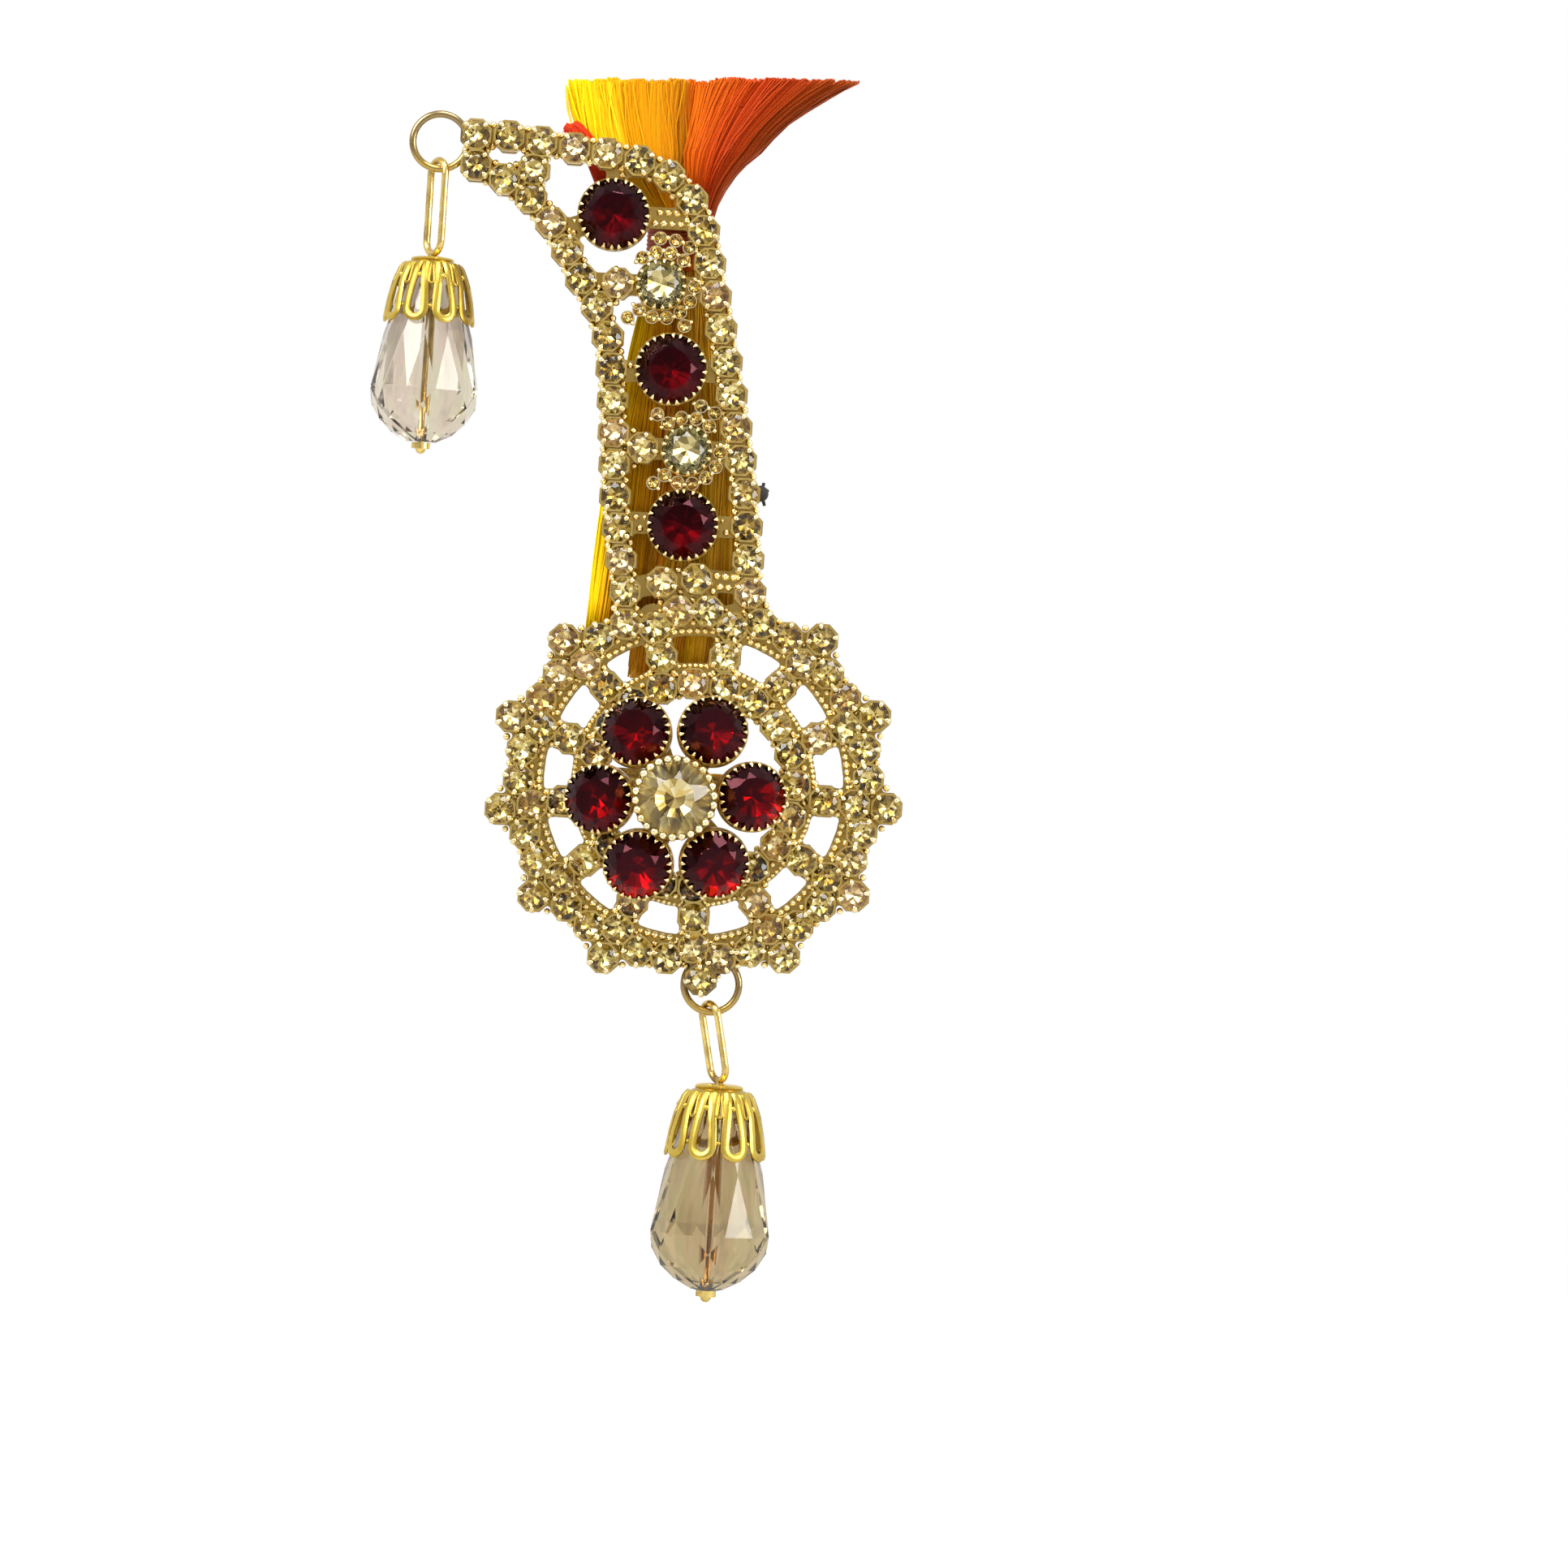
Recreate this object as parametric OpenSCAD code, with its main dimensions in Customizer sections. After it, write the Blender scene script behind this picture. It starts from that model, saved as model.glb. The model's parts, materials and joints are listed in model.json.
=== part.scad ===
// Turban ornament: a lobed medallion with a flower of red stones, a swan-neck stem that ends in
// a beak, two hanging crystal drops, a brooch pin and a plume of silk locks behind the stem.
// The flat pieces are drawn facing the viewer (x right, y up, z forward) and stood up by face(),
// so the back of the plate lies on y = 0 and the front looks along -Y.

/* [Medallion] */
// Number of pointed lobes round the rim
lobes = 13; // [9:1:17]
// Distance from the centre to the stone at each lobe's point
tip_r = 21.5; // [21:0.1:23]
// Turn of the first lobe from +X
lobe_turn = -3.2; // [-10:0.1:10]
// Distance from the centre to the ring of stones round the flower
ring_r = 11.3; // [11:0.1:12]

/* [Stone chain] */
// Width of one small eight-sided cup across its flats
cup_w = 3.4; // [3:0.1:3.5]
// Wall of a small cup
cup_wall = 0.25; // [0.2:0.05:0.3]
// Spacing of the cups along a chain
cup_pitch = 3.6; // [3.5:0.05:4]
// Height of a small cup above the plate
cup_h = 1.6; // [1.2:0.1:2]

/* [Plate] */
// Thickness of the open-work plate
plate_t = 1; // [0.9:0.1:1.4]
// Width of the bars that join the cups
bar_w = 2.4; // [1.2:0.1:2.6]
// Radius of the solder fillets between bars
fillet_r = 0.35; // [0.1:0.05:0.5]

/* [Large stones] */
// Outside width of a red stone's toothed setting on the stem
red_w = 8.1; // [7:0.1:8.4]
// Outside width of a petal's toothed setting
petal_w = 7.8; // [7:0.1:7.9]
// Outside width of the centre stone's setting
centre_w = 9.2; // [8:0.1:10]
// Outside width of a clear stone's setting on the stem
clear_w = 5.8; // [5:0.1:6]
// Spacing of the teeth round a setting
tooth_pitch = 1.06; // [0.9:0.02:1.4]
// Outward lean of the petals
petal_lean = 12; // [0:1:16]

/* [Rings and drops] */
// Outside width of the two soldered rings
loop_w = 6.9; // [6.4:0.1:7.6]
// Wire of the rings and of the drops' pins
wire_w = 0.8; // [0.7:0.05:0.9]
// Width of the lower crystal
crystal_w = 13.6; // [12.8:0.1:14.4]
// Size of the beak's drop against the lower one
beak_drop_size = 0.9; // [0.8:0.01:1]
// Facets round a crystal
crystal_sides = 12; // [8:2:16]

/* [Brooch pin] */
// Length of the pin's bar
pin_l = 26; // [20:1:30]
// Height of the pin's wire above the back
pin_stand = 5.8; // [5.6:0.1:7]

/* [Plume] */
// Height that the plume's tips reach above the medallion's centre
plume_top = 79; // [76:0.5:84]
// Thickness of one lock at its fullest
lock_w = 4.6; // [3:0.1:5]

/* [Hidden] */

// Gap between pieces that only touch on the real object
gap = 0.1;
// Floor of a small cup above the plate, and the stone that sits in it
cup_floor = 0.3;
// The plate stands out this far round a cup's foot
cup_lip = 0.08;
stone_w = cup_w - 2 * cup_wall - 2 * gap;
stone_h = 1.7;
// Small cups and small stones have eight sides
cup_sides = 8;

// Lobe layout: flank stones lie below the tip and to both sides, spoke stones below it
lobe_step = 360 / lobes;
flank_r = 19.1;
flank_side = 3;
spoke_rs = [17.95, 14.6];
ring_count = 20;
// The openings lie between the rim's band and the ring's band: how far each band reaches
rim_in = 2.5;
rim_out = 0.6;
ring_in = 1.3;
ring_out = 2.3;
spoke_w = 3.2;
// The stem hides the points of two lobes, and the lowest point leans towards its ring
hidden_lobes = [3, 4];
lowest_lobe = 10;
lowest_lean = 0.8;

// Centre lines of the stem's two borders, from the beak down to the medallion
inner_line = [[-28.4, 66.9], [-24.4, 65.2], [-21.7, 63.3], [-19.3, 60.6], [-17.6, 57.9], [-15.7, 54.6],
    [-13.6, 51.4], [-12.4, 47.9], [-11.8, 43.5], [-11.2, 37], [-10.6, 30.5], [-9.7, 25], [-8.9, 20.9]];
outer_line = [[-28.6, 70.3], [-24, 70.3], [-19, 69.6], [-13, 69], [-9, 68.1], [-5.8, 66.2], [-3.6, 63.5],
    [-2.6, 60.5], [-0.9, 53.5], [0.9, 45.8], [2.4, 38.7], [3.7, 31.6], [4.4, 25.5], [4.9, 21.6]];
line_steps = 8;
// Loose cups: one fills the beak, the others stand beside the clear stones
filler_cup = [-22, 66.8];
bridge_cups = [filler_cup, [-11.9, 54.9], [-8, 36.9], [-1.1, 22.8], [-4.9, 22.2]];

// Large stones on the stem, and the bars that run under them from border to border
red_at = [[-12.8, 62.4], [-5.4, 45.7], [-3, 28.6]];
clear_at = [[-7.1, 55], [-3.1, 36.9]];
stem_ties = [[[-18.9, 60.2], red_at[0]], [red_at[0], [-3.2, 62.5]], [red_at[0], [-12.8, 69]],
    [[-15.8, 54.8], [-1.2, 55]], [[-12, 45.2], [0.9, 45.9]], [[-11.2, 36.9], [2.7, 37]],
    [[-10.4, 28.6], [4, 28.8]], [[-8.9, 21.2], [-4.9, 22.2]], [[-4.9, 22.2], [-1.1, 22.8]],
    [[-1.1, 22.8], [4.7, 22.6]], [[-4.9, 22.2], [-2.9, 19.1]], [[-1.1, 22.8], [0.4, 19.3]],
    [filler_cup, [-22, 70]], [filler_cup, [-22.4, 63.9]]];
// Flower: its centre, the radius of the petals and the turn of the first one
flower_at = [-1.8, -1.5];
petal_r = 8.1;
petal_turn = 4.4;
petal_count = 6;
petal_peg_r = 1.5;
centre_peg_r = 2.2;
// Heights above the back of the plate
flower_plate_z = 3.2;
flower_plate_t = 0.7;
flower_arm_w = 2.2;
post_r = 2.6;
petal_z = 5.3;
centre_z = 8.5;

// Toothed settings
setting_wall = 0.4;
setting_floor = 0.5;
red_h = 2.6;
petal_h = 2.2;
clear_h = 2.1;
centre_h = 2.6;
tooth_share = 0.78;

// Rings soldered on: beak ring and base ring centres in the plate's plane
beak_loop_at = [-32.6, 69.4];
base_loop_at = [3.4, -21.9];
wire_r = wire_w / 2;
loop_r = loop_w / 2 - wire_r;

// Drops, each written from its pivot at the foot of its ring
eye_bend = 1.5;
eye_yaw = 35;
eye_play = 0.15;
beak_eye_l = 9.9;
base_eye_l = 8;
base_eye_lean = 12;
cap_h = 8.2;
cap_foot_r = 5.5;
cap_t = 0.4;
cap_petals = 9;
crystal_foot = 22.7;
collar_r = 1.15;
collar_h = 0.7;
ball_r = 0.65;
bore_gap = 0.1;

// Brooch pin
pin_bar_w = 3;
pin_bar_t = 0.7;
pin_post_t = 1.6;
pin_wire_r = 0.45;
pin_at = [0, 0];

// Thread knot
knot_at = [5.3, 32.8];
knot_r = 0.9;

// Plume: where it is tied, and the depth of its locks behind the plate
neck = [-5.2, 60.6];
neck_r = 3.2;
tie_l = 3.4;
tie_t = 0.7;
plume_back = 4.2;
// Locks of each half: the ends of its row of tips, the ends of its row of bends, and their count
yellow_tips = [[-17.6, 0], [-6.8, 0.6]];
yellow_bends = [[-15.4, 68.5], [-8.9, 69]];
yellow_locks = 5;
orange_tips = [[-3.6, 0.6], [10.8, 0]];
orange_bends = [[-1.9, 69], [-0.4, 66]];
orange_locks = 6;
// Tails behind the stem: where each one bends and where it ends
yellow_tails = [[[-9.8, 2.5, 40], [-11.7, 2.2, 13]], [[-7.2, 2.5, 40], [-9.1, 2.2, 12]]];
orange_tails = [[[-2.2, 2.5, 40], [-5.6, 2.2, 14]], [[0, 2.5, 40], [-2.6, 2.2, 15]]];
// Locks start this far above the neck's middle, and tails as far below it, clear of the tie
lock_start = 2.3;
root_w = 1.8;
tip_w = 2.6;
tail_ws = [2.8, 4, 3.1];
half_x = 1.7;
lock_sides = 8;
lock_rings = 7;

// Stands a flat piece up, so that it looks along -Y
module face() {
    rotate([90, 0, 0]) children();
}

// Point at a share t of the way between two values
function mix(a, b, t) = a + (b - a) * t;
// Point on a smooth curve between b and c, with a before them and d after them
function curve(a, b, c, d, t) =
    0.5 * (2 * b + (c - a) * t + (2 * a - 5 * b + 4 * c - d) * t * t + (3 * b - a - 3 * c + d) * t * t * t);
// Smooth line through a list of points
function smooth(pts) = let (last = len(pts) - 1) concat(
    [for (i = [0:last - 1]) for (s = [0:line_steps - 1])
        curve(pts[max(i - 1, 0)], pts[i], pts[i + 1], pts[min(i + 2, last)], s / line_steps)],
    [pts[last]]);
// Distance run along a line at each of its points
function run(line) = [for (i = 0, d = 0; i < len(line);
    d = d + (i + 1 < len(line) ? norm(line[i + 1] - line[i]) : 0), i = i + 1) d];
// Evenly spaced places along a smooth line, about one pitch apart
function spaced(pts) = let (line = smooth(pts), d = run(line), total = d[len(d) - 1],
        n = round(total / cup_pitch),
        xs = [for (i = [0:len(d) - 1]) [d[i], line[i].x]],
        ys = [for (i = [0:len(d) - 1]) [d[i], line[i].y]])
    [for (i = [0:n]) [lookup(total * i / n, xs), lookup(total * i / n, ys)]];
function has(list, v) = len([for (e = list) if (e == v) e]) > 0;
// Place at distance r out from the centre and side to the left of it, turned by angle a
function out(r, side, a) = [r * cos(a) - side * sin(a), r * sin(a) + side * cos(a)];
function lobe_angle(k) = lobe_turn + k * lobe_step;

inner_cups = spaced(inner_line);
outer_cups = spaced(outer_line);
tip_cups = [for (k = [0:lobes - 1]) if (!has(hidden_lobes, k))
    out(tip_r, k == lowest_lobe ? lowest_lean : 0, lobe_angle(k))];
flank_cups = [for (k = [0:lobes - 1]) for (s = [-1, 1]) out(flank_r, s * flank_side, lobe_angle(k))];
rim_cups = concat(tip_cups, flank_cups);
spoke_cups = [for (k = [0:lobes - 1]) for (r = spoke_rs) out(r, 0, lobe_angle(k))];
ring_cups = [for (i = [0:ring_count - 1]) out(ring_r, 0, lobe_angle(lowest_lobe) + i * 360 / ring_count)];
all_cups = concat(rim_cups, spoke_cups, ring_cups, inner_cups, outer_cups, bridge_cups);
petal_angles = [for (i = [0:petal_count - 1]) petal_turn + i * 360 / petal_count];

// Flat bar with round ends between two places
module bar(a, b, w = bar_w) {
    translate(a) {
        circle(d = w, $fn = 12);
        rotate(atan2(b.y - a.y, b.x - a.x)) translate([0, -w / 2]) square([norm(b - a), w]);
    }
    translate(b) circle(d = w, $fn = 12);
}

module chain_bars(cups) {
    for (i = [0:len(cups) - 2]) bar(cups[i], cups[i + 1]);
}

// Outline of the open-work plate: a pad under every cup and the bars between them
module plate_outline() {
    offset(r = -fillet_r, $fn = 8) offset(delta = fillet_r) {
        for (c = all_cups) translate(c) cup_outline(cup_w + 2 * cup_lip);
        chain_bars(inner_cups);
        chain_bars(outer_cups);
        for (k = [0:lobes - 1]) bar(out(ring_r, 0, lobe_angle(k)), out(flank_r, 0, lobe_angle(k)), spoke_w);
        difference() {
            circle(r = flank_r + rim_out, $fn = 52);
            circle(r = flank_r - rim_in, $fn = 52);
        }
        difference() {
            circle(r = ring_r + ring_out, $fn = 40);
            circle(r = ring_r - ring_in, $fn = 40);
        }
        for (a = petal_angles) bar(flower_at, out(ring_r, 0, a));
        translate(flower_at) circle(r = 4, $fn = 24);
        stem_bars();
    }
}

// Bars and pads across the stem under its large stones
module stem_bars() {
    for (p = red_at) translate(p) circle(d = red_w - 1.6, $fn = 24);
    for (p = clear_at) translate(p) circle(d = clear_w - 0.8, $fn = 24);
    for (t = stem_ties) bar(t[0], t[1]);
}

// Eight-sided outline with the given width across its flats
module cup_outline(w) {
    rotate(180 / cup_sides) circle(d = w / cos(180 / cup_sides), $fn = cup_sides);
}

module wire_ring(at) {
    translate([at.x, at.y, plate_t / 2])
        rotate_extrude($fn = 64) translate([loop_r, 0]) circle(r = wire_r, $fn = 24);
}

// Plate, cups and rings, soldered into one piece
module frame() {
    color("gold") face() {
        linear_extrude(plate_t) plate_outline();
        translate([0, 0, plate_t]) linear_extrude(cup_floor)
            for (c = all_cups) translate(c) cup_outline(cup_w);
        translate([0, 0, plate_t + cup_floor]) linear_extrude(cup_h - cup_floor) difference() {
            for (c = all_cups) translate(c) cup_outline(cup_w);
            for (c = all_cups) translate(c) cup_outline(cup_w - 2 * cup_wall);
        }
        wire_ring(beak_loop_at);
        wire_ring(base_loop_at);
    }
}

// Cut stone from rings of equal sides: each level is [radius, height, turn in half sides]
module gem(levels, sides) {
    n = len(levels);
    step = 360 / sides;
    pts = [for (l = levels) for (i = [0:sides - 1])
        [l[0] * cos((i + l[2] / 2) * step), l[0] * sin((i + l[2] / 2) * step), l[1]]];
    // Triangles between two rings follow the half turn of the upper one
    skin = [for (k = [0:n - 2]) for (i = [0:sides - 1])
        let (a = k * sides + i, b = k * sides + (i + 1) % sides, shifted = levels[k + 1][2] > levels[k][2])
        each shifted ? [[a, a + sides, b], [b, a + sides, b + sides]]
                     : [[a, a + sides, b + sides], [a, b + sides, b]]];
    foot = [for (i = [0:sides - 1]) i];
    table = [for (i = [sides - 1:-1:0]) (n - 1) * sides + i];
    polyhedron(points = pts, faces = concat([foot], skin, [table]));
}

module small_stones(places, tint = "lemonchiffon") {
    r = stone_w / 2 / cos(180 / cup_sides);
    color(tint) face() for (p = places) translate([p.x, p.y, plate_t + cup_floor + gap])
        rotate(180 / cup_sides) gem([[r * 0.8, 0, 0], [r, 1, 0], [r * 0.6, stone_h, 1]], cup_sides);
}

// Cup with pointed teeth bent over the stone's edge
module toothed_setting(w, h) {
    teeth = round(PI * w / tooth_pitch);
    notch = tooth_pitch * tooth_share / sqrt(2);
    color("goldenrod") difference() {
        cylinder(d = w, h = h, $fn = 48);
        translate([0, 0, setting_floor]) cylinder(d = w - 2 * setting_wall, h = h, $fn = 48);
        for (i = [0:teeth - 1]) rotate(i * 360 / teeth) translate([w / 2 - setting_wall / 2 + 0.1, 0, h])
            rotate([45, 0, 0]) cube([setting_wall + 0.4, notch, notch], center = true);
    }
}

// Round stone for a toothed setting, with a table, two rows of crown facets and a flat foil back
module round_stone(w, h, rise, sides, tint) {
    r = w / 2 - setting_wall - gap;
    color(tint) translate([0, 0, setting_floor + gap])
        gem([[r * 0.75, 0, 0], [r, h * 0.55, 0], [r, h * 0.7, 0], [r * 0.84, h * 0.7 + rise * 0.6, 1],
             [r * 0.55, h * 0.7 + rise, 2]], sides);
}

module on_stem(p) {
    face() translate([p.x, p.y, plate_t + gap]) children();
}

module petal_place(a) {
    face() translate(concat(flower_at + petal_r * [cos(a), sin(a)], [petal_z]))
        rotate([0, 0, a]) rotate([0, petal_lean, 0]) children();
}

module centre_place() {
    face() translate(concat(flower_at, [centre_z])) children();
}

// Petal's setting with the short peg that it stands on
module petal_setting() {
    peg = petal_z - flower_plate_z - flower_plate_t;
    toothed_setting(petal_w, petal_h);
    color("goldenrod") translate([0, 0, -peg + 0.45]) cylinder(r = petal_peg_r, h = peg, $fn = 32);
}

// Starred plate that lifts the flower above the ring of stones, on one post
module flower_plate() {
    color("goldenrod") face() translate(flower_at) {
        translate([0, 0, flower_plate_z]) linear_extrude(flower_plate_t) {
            circle(r = 3.6, $fn = 32);
            for (a = petal_angles) {
                bar([0, 0], out(petal_r, 0, a), flower_arm_w);
                translate(out(petal_r, 0, a)) circle(r = 2.1, $fn = 24);
            }
        }
        translate([0, 0, plate_t + gap]) cylinder(r = post_r, h = flower_plate_z - plate_t, $fn = 32);
    }
}

module centre_setting() {
    foot = centre_z - flower_plate_z - flower_plate_t - gap;
    toothed_setting(centre_w, centre_h);
    color("goldenrod") translate([0, 0, -foot]) cylinder(r = centre_peg_r, h = foot + 0.2, $fn = 32);
}

// Distance from a drop's pivot to the foot of its eye, and the sideways reach of a leaning one
function eye_foot(eye_l, lean) = (eye_l - wire_r - gap) / cos(lean);
function eye_side(eye_l, lean) = eye_foot(eye_l, lean) * sin(lean);

// Long eye of bent wire that hangs on a ring's wire, its foot at distance l from the pivot
module wire_eye(l) {
    seat = eye_bend - 2 * wire_r - eye_play;
    color("gold") rotate(eye_yaw) rotate([90, 0, 90]) translate([0, -seat, 0]) {
        rotate_extrude(angle = 180, $fn = 48) translate([eye_bend, 0]) circle(r = wire_r, $fn = 24);
        for (s = [-1, 1]) translate([s * eye_bend, -l + seat + eye_bend, 0]) rotate([-90, 0, 0])
            cylinder(r = wire_r, h = l - seat - eye_bend, $fn = 24);
        translate([0, -l + seat + eye_bend, 0]) rotate(180) rotate_extrude(angle = 180, $fn = 48)
            translate([eye_bend, 0]) circle(r = wire_r, $fn = 24);
    }
}

// Pin of a drop: its eye, the straight shank through cap and crystal, and its collar and ball
module drop_pin(eye_l, lean, size) {
    collar_top = eye_l + (crystal_foot + gap) * size;
    shank_top = eye_l - wire_r - gap;
    rotate([0, -lean, 0]) wire_eye(eye_foot(eye_l, lean));
    color("gold") translate([eye_side(eye_l, lean), 0, 0]) {
        translate([0, 0, -collar_top]) cylinder(r = wire_r, h = collar_top - shank_top, $fn = 24);
        translate([0, 0, -collar_top - collar_h * size])
            cylinder(r = collar_r * size, h = collar_h * size, $fn = 32);
        translate([0, 0, -collar_top - collar_h * size]) sphere(r = ball_r * size, $fn = 64);
    }
}

// Bell of leafy loops over the crystal's shoulder, its top at the origin
module drop_cap(size) {
    foot = cap_foot_r;
    color("gold") scale(size) difference() {
        rotate_extrude($fn = 48) polygon([[wire_r + 0.2, 0], [2.6, 0], [3.8, -1.2], [4.6, -3.2], [5.1, -5.4],
            [foot, -cap_h], [foot - cap_t, -cap_h], [5.1 - cap_t, -5.4], [4.6 - cap_t, -3.3],
            [3.8 - cap_t, -1.5], [2.5, -cap_t], [wire_r + 0.2, -cap_t]]);
        for (i = [0:cap_petals - 1]) rotate((i + 0.5) * 360 / cap_petals) {
            rotate([90, 0, 0]) linear_extrude(foot + 1)
                polygon([[0, -7.5], [0.65, -7], [0.75, -6], [0.4, -3.4],
                         [-0.4, -3.4], [-0.75, -6], [-0.65, -7]]);
            rotate([90, 0, 180 / cap_petals]) linear_extrude(foot + 1)
                polygon([[-0.6, -cap_h - 1], [0.6, -cap_h - 1], [0.42, -cap_h + 0.8], [0, -5.6],
                         [-0.42, -cap_h + 0.8]]);
        }
    }
}

// Cut crystal drop with its widest girth low down, drilled for its pin
module drop_crystal(size) {
    r = crystal_w / 2;
    color("mistyrose") difference() {
        scale(size) gem([[r * 0.25, -crystal_foot, 0], [r * 0.58, -21.6, 1], [r * 0.87, -19.6, 2],
            [r, -16.6, 3], [r * 0.92, -12, 4], [r * 0.71, -8, 5], [r * 0.54, -3.4, 6],
            [r * 0.25, -0.9, 7]], crystal_sides);
        translate([0, 0, -crystal_foot - 1]) cylinder(r = wire_r + bore_gap, h = crystal_foot + 2, $fn = 24);
    }
}

module at_beak_drop() {
    translate([beak_loop_at.x, -plate_t / 2, beak_loop_at.y - loop_r]) children();
}

module at_base_drop() {
    translate([base_loop_at.x, -plate_t / 2, base_loop_at.y - loop_r]) children();
}

module under_eye(eye_l, lean) {
    translate([eye_side(eye_l, lean), 0, -eye_l]) children();
}

// Plain safety pin across the back: bar, two posts and the wire
module brooch_pin() {
    half = pin_l / 2;
    color("silver") translate([pin_at.x, gap, pin_at.y]) {
        translate([-half, 0, -pin_bar_w / 2]) cube([pin_l, pin_bar_t, pin_bar_w]);
        for (s = [-1, 1]) translate([s * (half - pin_post_t / 2) - pin_post_t / 2, 0, -pin_bar_w / 2])
            cube([pin_post_t, pin_stand + 0.9, pin_bar_w]);
        translate([-half + 0.2, pin_stand, 0]) rotate([0, 90, 0])
            cylinder(r = pin_wire_r, h = pin_l - 0.4, $fn = 24);
    }
}

// Knotted end of black thread behind the stem's right border
module thread_knot() {
    color("black") translate([knot_at.x, knot_r + 1.5 * gap, knot_at.y]) sphere(r = knot_r, $fn = 64);
}

// Tapered lock of silk along a bent line from a to c, drawn towards b
module lock(a, b, c, w0, w1, w2) {
    path = [for (i = [0:lock_rings - 1]) let (t = i / (lock_rings - 1))
        mix(mix(a, b, t), mix(b, c, t), t)];
    width = [for (i = [0:lock_rings - 1]) let (t = i / (lock_rings - 1))
        mix(mix(w0, w1, min(1, 2 * t)), w2, max(0, 2 * t - 1))];
    pts = [for (i = [0:lock_rings - 1])
        let (d = path[min(i + 1, lock_rings - 1)] - path[max(i - 1, 0)],
             along = d / norm(d),
             side = cross(along, [0, 1, 0]) / norm(cross(along, [0, 1, 0])),
             deep = cross(side, along))
        for (j = [0:lock_sides - 1]) let (q = j * 360 / lock_sides)
            path[i] + width[i] / 2 * (cos(q) * side + 0.8 * sin(q) * deep)];
    skin = [for (i = [0:lock_rings - 2]) for (j = [0:lock_sides - 1])
        let (p = i * lock_sides + j, q = i * lock_sides + (j + 1) % lock_sides)
        each [[p, q, q + lock_sides], [p, q + lock_sides, p + lock_sides]]];
    foot = [for (j = [lock_sides - 1:-1:0]) j];
    end = [for (j = [0:lock_sides - 1]) (lock_rings - 1) * lock_sides + j];
    polyhedron(points = pts, faces = concat([foot], skin, [end]));
}

// Fan of locks from the neck up to the tips, one row in front of the other
module fan(from_x, tips, mids, count) {
    for (row = [0, 1]) for (i = [0:count - 1 - row]) {
        t = (i + row / 2) / (count - 1);
        y = plume_back + (row == 0 ? -1.4 : 1.6);
        tip = [mix(tips[0].x, tips[1].x, t), y + row,
               plume_top + mix(tips[0].y, tips[1].y, t) - row - i % 2];
        mid = [mix(mids[0].x, mids[1].x, t), y, mix(mids[0].y, mids[1].y, t)];
        lock([from_x + t - 0.5, plume_back + (row == 0 ? -0.6 : 0.6), neck.y + lock_start], mid, tip,
             root_w, lock_w, tip_w);
    }
}

// Tails that hang from the neck behind the stem
module hanging_tails(from_x, tails) {
    for (t = tails)
        lock([from_x, plume_back - 0.6, neck.y - lock_start], t[0], t[1], tail_ws[0], tail_ws[1], tail_ws[2]);
}

// Half of the tied neck, on the left or right of the plume's middle
module half_neck(side) {
    translate([neck.x, plume_back, neck.y - tie_l]) intersection() {
        cylinder(r = neck_r, h = 2 * tie_l, $fn = 32);
        translate([side > 0 ? gap : -neck_r - 1, -neck_r - 1, -1])
            cube([neck_r + 1 - gap, 2 * neck_r + 2, 2 * tie_l + 2]);
    }
}

module plume_yellow() {
    color("gold") {
        half_neck(-1);
        fan(neck.x - half_x, yellow_tips, yellow_bends, yellow_locks);
        hanging_tails(neck.x - half_x, yellow_tails);
    }
}

module plume_orange() {
    color("orangered") {
        half_neck(1);
        fan(neck.x + half_x, orange_tips, orange_bends, orange_locks);
        hanging_tails(neck.x + half_x, orange_tails);
    }
}

// Thread wound round the plume's neck
module plume_tie() {
    color("darkred") translate([neck.x, plume_back, neck.y - tie_l / 2])
        rotate_extrude($fn = 48) translate([neck_r + gap, 0]) square([tie_t, tie_l]);
}

frame();
small_stones(rim_cups);  // rim_stones
small_stones(spoke_cups);  // spoke_stones
small_stones(ring_cups);  // ring_stones
small_stones(inner_cups);  // inner_border_stones
small_stones(outer_cups);  // outer_border_stones
small_stones(bridge_cups);  // bridge_stones
for (i = [1:3]) {
    on_stem(red_at[i - 1]) toothed_setting(red_w, red_h);
    on_stem(red_at[i - 1]) round_stone(red_w, red_h, 1.6, 12, "darkred");
}
for (i = [1:2]) {
    on_stem(clear_at[i - 1]) toothed_setting(clear_w, clear_h);
    on_stem(clear_at[i - 1]) round_stone(clear_w, clear_h, 1.3, 12, "honeydew");
}
for (i = [1:6]) {
    petal_place(petal_angles[i - 1]) petal_setting();
    petal_place(petal_angles[i - 1]) round_stone(petal_w, petal_h, 1.5, 12, "darkred");
}
flower_plate();
centre_place() centre_setting();
centre_place() round_stone(centre_w, centre_h, 1.8, 16, "lemonchiffon");  // centre_stone
brooch_pin();
thread_knot();
at_beak_drop() drop_pin(beak_eye_l, 0, beak_drop_size);  // beak_pin
at_beak_drop() under_eye(beak_eye_l, 0) drop_cap(beak_drop_size);  // beak_cap
at_beak_drop() under_eye(beak_eye_l, 0) drop_crystal(beak_drop_size);  // beak_crystal
at_base_drop() drop_pin(base_eye_l, base_eye_lean, 1);  // base_pin
at_base_drop() under_eye(base_eye_l, base_eye_lean) drop_cap(1);  // base_cap
at_base_drop() under_eye(base_eye_l, base_eye_lean) drop_crystal(1);  // base_crystal
plume_yellow();
plume_orange();
plume_tie();
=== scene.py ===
# Turban ornament: gold-plated open-work with cup-set stones, a red stone flower, two crystal
# drops on wire eyes and a silk plume. Shapes are worked out in millimetres and made in metres.
import json
import math
import random

import bpy
from mathutils import Matrix, Vector


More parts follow.
